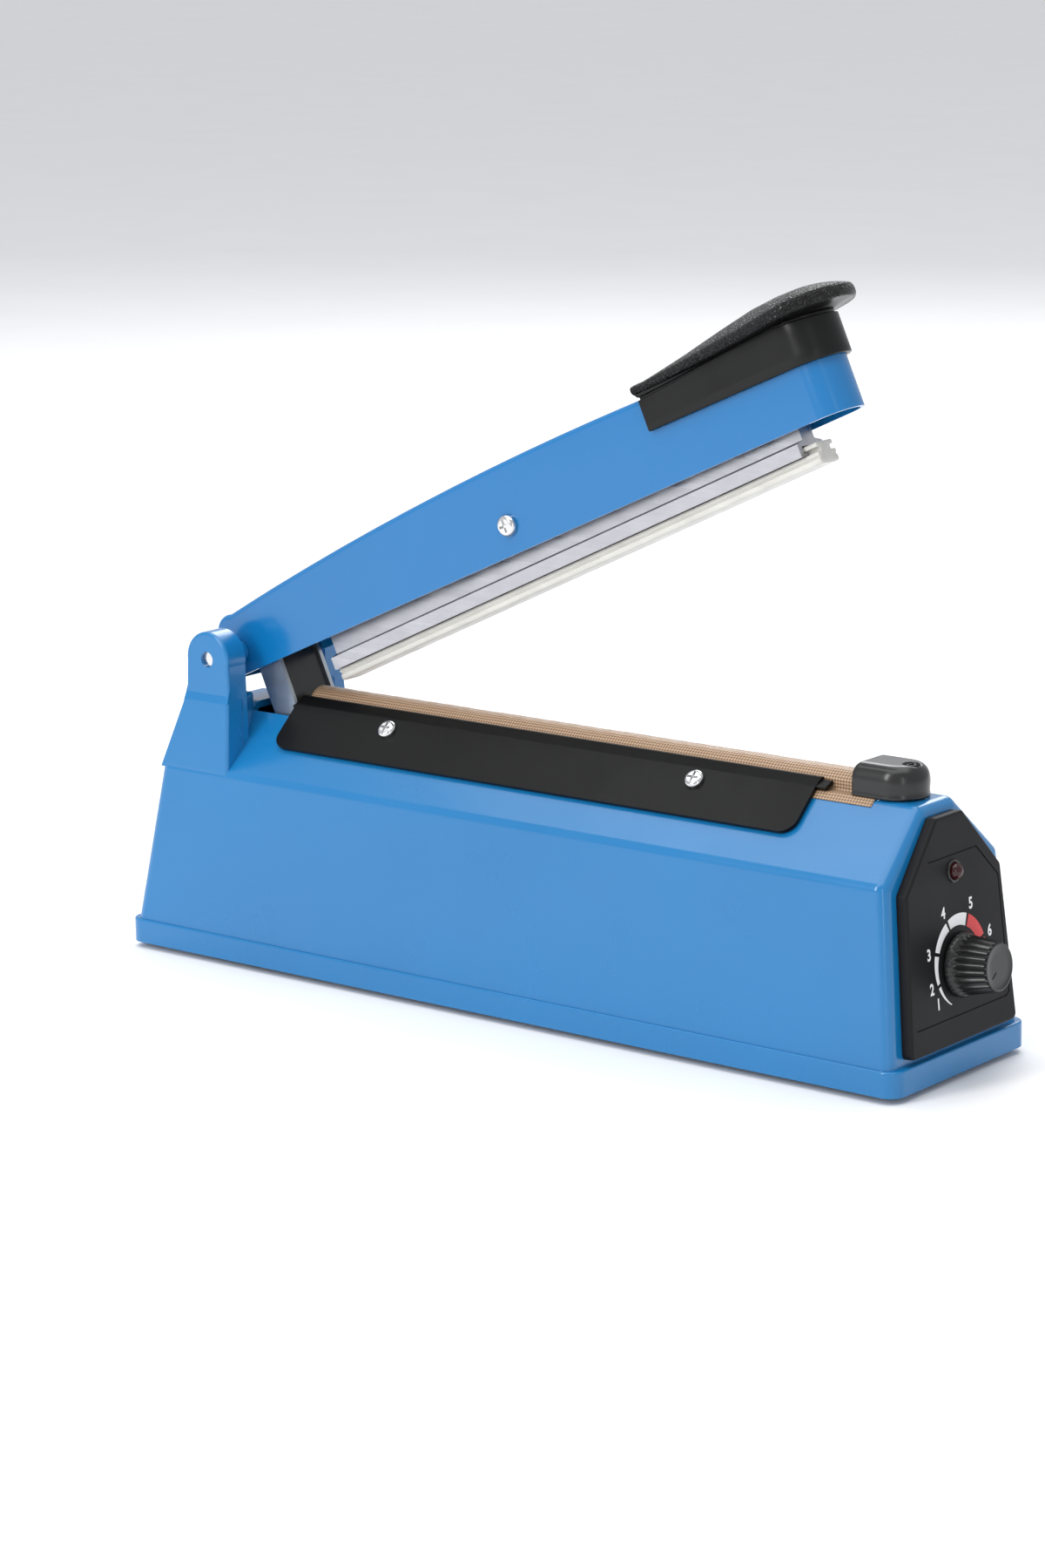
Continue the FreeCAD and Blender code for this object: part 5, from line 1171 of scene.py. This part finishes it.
@dataclass
class DialPrint:
    """The printed scale round the knob: a wedge-shaped ring in two colours, and plain numbers.

    Args:
        centre: the ring's middle beside and above the shaft.
        outer: the ring's outer radius.
        narrowing: degrees back round the dial and the ring's inner radius there.
        breaks: degrees of the gaps between its stretches, where it starts and where it ends.
        digits: degrees of the numbers.
        digit_reach: how far out the numbers stand.
        digit_size: height of their letters' field.
        high: how far the print stands off the panel.
    """

    seat: Seat
    centre: tuple[float, float] = (0.4, 1.3)
    outer: float = 13.6
    narrowing: tuple = ((118.0, 13.3), (157.0, 12.35), (198.0, 11.45), (244.0, 10.65), (292.0, 9.85),
                        (420.0, 9.85))
    breaks: tuple = (-118.0, -156.5, -198.5, -244.5, -292.0, -340.5, -387.0, -418.0)
    digits: tuple = (-141.0, -160.5, -196.0, -244.0, -295.0, -342.0, -377.0, -397.0)
    digit_reach: float = 16.7
    digit_size: float = 4.7
    high: float = 0.05

    def arc(self, start: float, end: float) -> Array:
        """One stretch of the ring: its inner edge draws in as the angle grows.

        Args:
            start: degrees where it begins.
            end: degrees where it ends.

        Returns:
            (n, 6, 3) grid of a thin closed plate.
        """
        gap = 2.4
        first = start == self.breaks[0]
        turn = np.linspace(start if first else start - gap, end + gap, 24)
        inner = np.interp(-turn, *zip(*self.narrowing))
        outer = np.full_like(turn, self.outer)
        edge = np.stack([inner + 0.06, inner, inner, outer, outer, outer - 0.06], 1)
        level = np.array([self.high, self.high - 0.02, -0.1, -0.1, self.high - 0.02, self.high])
        angle = np.radians(turn)[:, None]
        grid = np.stack([np.broadcast_to(level, edge.shape), self.centre[0] + edge * np.cos(angle),
                         self.centre[1] + edge * np.sin(angle)], -1)
        caps = end_points(grid)
        return np.concatenate([caps[0], grid, caps[1]])

    def build(self) -> list[bpy.types.Object]:
        """The ring's white and red parts and the numbers.

        Returns:
            The printed pieces.
        """
        pieces = []
        stretches = list(zip(self.breaks, self.breaks[1:]))
        for name, chosen, finish in (("scale_white", stretches[:4], Paints.white_print),
                                     ("scale_red", stretches[4:], Paints.red_print)):
            grids = [self.arc(a, b) for a, b in chosen]
            size = grids[0].shape
            faces = grid_faces(size[0], size[1], True)
            joined = np.concatenate([faces + k * size[0] * size[1] for k in range(len(grids))])
            piece = make_piece(name, self.seat.place(np.stack(grids)), joined, finish, crease=30.0)
            pieces.append(settle(piece, Body.BASE, "black_panel"))
        pieces += [self.number(k + 1, angle) for k, angle in enumerate(self.digits)]
        return pieces

    def number(self, value: int, angle: float) -> bpy.types.Object:
        """One plain upright number outside the ring.

        Args:
            value: what it says.
            angle: degrees round the dial.

        Returns:
            The number, raised a hair from the panel.
        """
        curve = bpy.data.curves.new("number", "FONT")
        curve.body = str(value)
        curve.align_x = "CENTER"
        curve.align_y = "CENTER"
        curve.size = self.digit_size
        curve.extrude = 0.07
        curve.offset = 0.13
        curve.resolution_u = 6
        draft = bpy.data.objects.new("number_draft", curve)
        bpy.context.scene.collection.objects.link(draft)
        bpy.context.view_layer.update()
        shown = draft.evaluated_get(bpy.context.evaluated_depsgraph_get())
        mesh = bpy.data.meshes.new_from_object(shown)
        bpy.data.objects.remove(draft)
        points = np.zeros(len(mesh.vertices) * 3, np.float32)
        mesh.vertices.foreach_get("co", points)
        points = points.reshape(-1, 3)
        beside = self.centre[0] + self.digit_reach * math.cos(math.radians(angle))
        above = self.centre[1] + self.digit_reach * math.sin(math.radians(angle))
        flat = np.stack([points[:, 2] - 0.02, points[:, 0] * 0.86 + beside, points[:, 1] + above], 1)
        placed = self.seat.place(flat)
        mesh.vertices.foreach_set("co", placed.astype(np.float32).ravel())
        mesh.materials.clear()
        mesh.materials.append(Paints.white_print.make())
        piece = bpy.data.objects.new(f"number_{value}", mesh)
        bpy.context.scene.collection.objects.link(piece)
        log.info("built number_%d, %d faces", value, len(mesh.polygons))
        return settle(piece, Body.BASE, "black_panel")


@dataclass
class LampCollar:
    """The dark rim round the small lamp in the panel.

    Args:
        up: height of the lamp above the knob's shaft.
        radius: radius of the rim's middle line.
        thick: radius of its section.
        steps: points round it.
    """

    seat: Seat
    up: float = 27.56
    radius: float = 2.95
    thick: float = 0.5
    steps: int = 48

    def build(self) -> bpy.types.Object:
        """Turn a small round section about the lamp's axis.

        Returns:
            The collar.
        """
        turn = np.linspace(0, math.tau, self.steps)
        beside, above = self.radius * np.cos(turn), self.up + self.radius * np.sin(turn)
        path = np.stack([np.full(self.steps, 0.1), beside, above], 1)
        points, faces = sweep(path, np.tile([1.0, 0.0, 0.0], (self.steps, 1)), self.thick, 12)
        piece = make_piece("lamp_collar", self.seat.place(points), faces, Paints.gloss)
        return settle(piece, Body.BASE, "black_gloss")


@dataclass
class TerminalCover:
    """The black cap over the front terminal: a hollow half capsule with a flat top and round nose.

    Args:
        rear: its open rear end.
        centre: centre of its round nose.
        half: half width.
        low: height of its foot.
        top: height of its flat top.
        wall: thickness of its wall.
        screw: where its screw sits.
        screw_room: radius of the hollow round the screw.
        sunk: depth of that hollow.
    """

    seat: Seat
    rear: float = 116.95
    centre: float = 127.5
    half: float = 8.95
    low: float = 79.66
    top: float = 89.25
    wall: float = 1.5
    screw: float = 131.5
    screw_room: float = 2.7
    sunk: float = 1.25

    def build(self) -> bpy.types.Object:
        """Carry a profile round a plan line of near side, half circle and far side. The profile is a
        short upright foot, a shoulder whose width and height are powers of a cosine and a sine, and
        a flat top that sinks by a smooth step round the screw. A wall is then given to the sheet.

        Returns:
            The cover.
        """
        turn = np.radians(np.linspace(0, 90, 22))
        shoulder = np.stack([0.5 + 0.5 * np.cos(turn) ** 0.85, 0.42 + 0.58 * np.sin(turn) ** 0.85], 1)
        foot = np.array([(0.985, 0.0), (1.0, 0.025), (1.0, 0.08), (0.985, 0.12), (0.99, 0.26)])
        flat = np.stack([np.linspace(0.48, 0.0, 22), np.ones(22)], 1)
        profile = np.concatenate([foot, shoulder, flat])
        fan = np.linspace(-math.pi / 2, math.pi / 2, 61)
        side = np.linspace(self.rear, self.centre, 22)[:-1]
        plan_x = np.concatenate([side, np.full(61, self.centre), side[::-1]])
        out_x = np.concatenate([0 * side, np.cos(fan), 0 * side])
        out_y = np.concatenate([0 * side - 1, np.sin(fan), 0 * side + 1])
        reach = profile[:, :1] * self.half
        along = plan_x + reach * out_x
        across = reach * out_y
        up = self.low + (self.top - self.low) * profile[:, 1:] + 0 * along
        round_off = np.clip(1 - (along - self.rear) / 1.4, 0, 1) ** 2
        up -= 0.6 * round_off * np.clip(profile[:, 1:] - 0.5, 0, 1) * 2
        near = np.clip((self.screw_room - np.hypot(along - self.screw, across)) / 0.5, 0, 1)
        up -= self.sunk * near * near * (3 - 2 * near)
        grid = np.stack([along, across, up], -1)
        faces = grid_faces(len(profile), len(plan_x), False)
        piece = make_piece("terminal_cap", self.seat.place(grid), faces, Paints.gloss, crease=50.0)
        wall = piece.modifiers.new("wall", "SOLIDIFY")
        wall.thickness = self.wall * MM
        wall.offset = -1.0
        return settle(piece, Body.BASE, "black_gloss", "terminal_cover")


@dataclass
class ReturnSpring:
    """The tension spring between the post on the base plate and the fork's cross pin.

    Args:
        radius: radius of the coil's middle line.
        wire: radius of the wire.
        turns: turns of the coil.
        loop: radius of its eyes.
        shank: length between each eye's middle and the coil.
        post: place of the eye on the post, in the body's frame.
        hook: place of the eye on the pin, in the arm's frame.
    """

    body: Seat
    arm: Seat
    radius: float = 4.0
    wire: float = 0.65
    turns: int = 11
    loop: float = 2.1
    shank: float = 8.0
    post: tuple[float, float, float] = (-58.0, 0.0, 56.0)
    hook: tuple[float, float, float] = (10.0, 0.0, -33.0)

    def build(self) -> bpy.types.Object:
        """A path of eye, shank, coil, shank and eye along the line from hook to post: the coil is a
        helix, the eyes are circles in the upright plane, and both shanks run on the axis.

        Returns:
            The spring.
        """
        low = self.arm.place(np.array(self.hook)) / MM
        high = self.body.place(np.array(self.post)) / MM
        line = high - low
        reach = float(np.linalg.norm(line))
        axis = line / reach
        cross = np.array([0.0, 1.0, 0.0])
        out = np.cross(cross, axis)
        turn = np.linspace(0, math.tau * self.turns, self.turns * 28)
        rise = self.shank + (reach - 2 * self.shank) * turn / turn[-1]
        helix = np.stack([self.radius * np.cos(turn), self.radius * np.sin(turn), rise], 1)
        circle = np.radians(np.linspace(250, -70, 30))
        eye = np.stack([-self.loop * np.cos(circle), 0 * circle, self.loop * np.sin(circle)], 1)
        shank = np.linspace([0, 0, self.loop + 0.6], [0, 0, 6.6], 6)
        bend = np.array([(0.25, 0, -0.6), (0.9, 0, -0.15), (2.0, 0, 0), (3.0, 0, 0), (3.7, 0.15, 0)])
        bend[:, 2] += self.shank
        start = np.concatenate([eye, shank, bend])
        end = start[::-1] * np.array([1.0, 1.0, -1.0]) + np.array([0.0, 0.0, reach])
        local = np.concatenate([start, helix[2:-2], end])
        square = np.tile(cross, (len(eye) + len(shank), 1))
        beside = np.concatenate([square, np.linspace(cross, [0.0, 0.3, 1.0], len(bend))])
        aside = np.concatenate([beside, np.tile([0.0, 0.0, 1.0], (len(helix) - 4, 1)), beside[::-1]])
        frame = np.stack([out, cross, axis])
        points, faces = sweep(low + local @ frame, aside @ frame, self.wire, 10)
        piece = make_piece("return_coil", points * MM, faces, Paints.steel, crease=80.0)
        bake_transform(piece)
        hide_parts("return_spring")
        return piece


@dataclass
class Studio:
    """A pale floor that sweeps up behind, soft lights, and the camera.

    Args:
        aim: the point in metres that the camera and the lamps are turned to.
        azimuth: degrees of the camera round the machine.
        elevation: degrees of the camera above the floor.
        roll: degrees of the camera's tilt.
        distance: metres between the camera and its aim.
        lens: the camera's focal length in millimetres.
        sensor: the longer side of its sensor in millimetres.
        surround: colour of the light from all round.
        surround_power: strength of that light.
        lamps: place, width and height, and watts of each lamp.
    """

    aim: tuple[float, float, float] = (-0.01892, 0.0, 0.0659)
    azimuth: float = 38.906
    elevation: float = 13.152
    roll: float = -0.887
    distance: float = 1.322
    lens: float = 97.98
    sensor: float = 36.0
    surround: tuple[float, float, float, float] = (0.95, 0.97, 1.0, 1.0)
    surround_power: float = 0.7
    lamps: dict[str, tuple] = field(default_factory=lambda: {
        "near_window": ((-0.35, -1.3, 0.75), (0.3, 0.9), 9.0),
        "overhead": ((-0.1, -0.1, 1.5), (1.6, 1.6), 15.0),
        "end_strip": ((1.25, -1.05, 0.35), (0.12, 0.9), 1.6),
        "rear_rim": ((-0.6, 1.3, 1.0), (1.0, 0.6), 9.0),
    })

    def floor(self) -> bpy.types.Object:
        """A large level sheet that curves up far behind: height grows with the square of what lies
        beyond the bend.

        Returns:
            The floor.
        """
        across, ahead = np.meshgrid(np.linspace(-14, 14, 3), np.linspace(-6, 16, 60), indexing="ij")
        turn = math.radians(-self.azimuth)
        x = across * math.cos(turn) + ahead * math.sin(turn)
        y = -across * math.sin(turn) + ahead * math.cos(turn)
        rise = 0.02 * np.clip(ahead - 5.0, 0.0, None) ** 2
        finish = Moulded("pale_floor", (0.93, 0.93, 0.935), 0.75, 300.0, 0.02, 0.008)
        points = np.stack([x, y, rise], -1)
        piece = make_piece("studio_floor", points, grid_faces(3, 60, False), finish, closed=False)
        return piece

    def light(self) -> None:
        """Large soft lamps turned to the machine, and an even pale surround."""
        world = bpy.data.worlds.new("surround")
        world.use_nodes = True
        glow = world.node_tree.nodes["Background"].inputs
        glow["Color"].default_value = self.surround
        glow["Strength"].default_value = self.surround_power
        bpy.context.scene.world = world
        bpy.context.scene.view_settings.view_transform = "Standard"
        for name, (place, size, power) in self.lamps.items():
            lamp = bpy.data.lights.new(name, "AREA")
            lamp.shape = "RECTANGLE"
            lamp.size, lamp.size_y = size
            lamp.energy = power
            holder = bpy.data.objects.new(name, lamp)
            holder.location = place
            holder.rotation_mode = "QUATERNION"
            holder.rotation_quaternion = (Vector(self.aim) - Vector(place)).to_track_quat("-Z", "Y")
            bpy.context.scene.collection.objects.link(holder)

    def camera(self) -> None:
        """Stand the camera back from its aim and tilt it by its small roll."""
        azimuth, elevation, roll = (math.radians(v) for v in (self.azimuth, self.elevation, self.roll))
        back = Vector((math.sin(azimuth) * math.cos(elevation), -math.cos(azimuth) * math.cos(elevation),
                       math.sin(elevation)))
        right = Vector((math.cos(azimuth), math.sin(azimuth), 0.0))
        up = back.cross(right)
        tilted = right * math.cos(roll) + up * math.sin(roll)
        lifted = up * math.cos(roll) - right * math.sin(roll)
        data = bpy.data.cameras.new("camera")
        data.lens = self.lens
        data.sensor_width = self.sensor
        data.clip_start = 0.05
        data.clip_end = 60.0
        camera = bpy.data.objects.new("camera", data)
        turn = Matrix((tilted, lifted, back)).transposed().to_4x4()
        camera.matrix_world = Matrix.Translation(Vector(self.aim) + back * self.distance) @ turn
        bpy.context.scene.collection.objects.link(camera)
        bpy.context.scene.camera = camera


def dress(nodes: dict[str, bpy.types.Object]) -> None:
    """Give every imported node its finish.

    Args:
        nodes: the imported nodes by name.
    """
    for name, finish in Paints.worn_by.items():
        node = nodes[name]
        node.data.materials.clear()
        node.data.materials.append(finish.make())
        log.info("dressed %s in %s", name, finish.name)


def main() -> None:
    """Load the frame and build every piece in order."""
    logging.basicConfig(level=logging.INFO, format="%(message)s")
    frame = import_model()
    seats = Seats.from_joints(frame["joints"])
    studio = Studio()
    studio.camera()
    studio.light()
    studio.floor()
    dress(frame["nodes"])
    SealingCloth(seats.body).build()
    SiliconeStrip(seats.bar).build()
    HandlePad(seats.arm).build()
    DialKnob(seats.panel).build()
    DialPrint(seats.panel).build()
    LampCollar(seats.panel).build()
    TerminalCover(seats.body).build()
    ReturnSpring(seats.body, seats.arm).build()


if __name__ == "__main__":
    main()
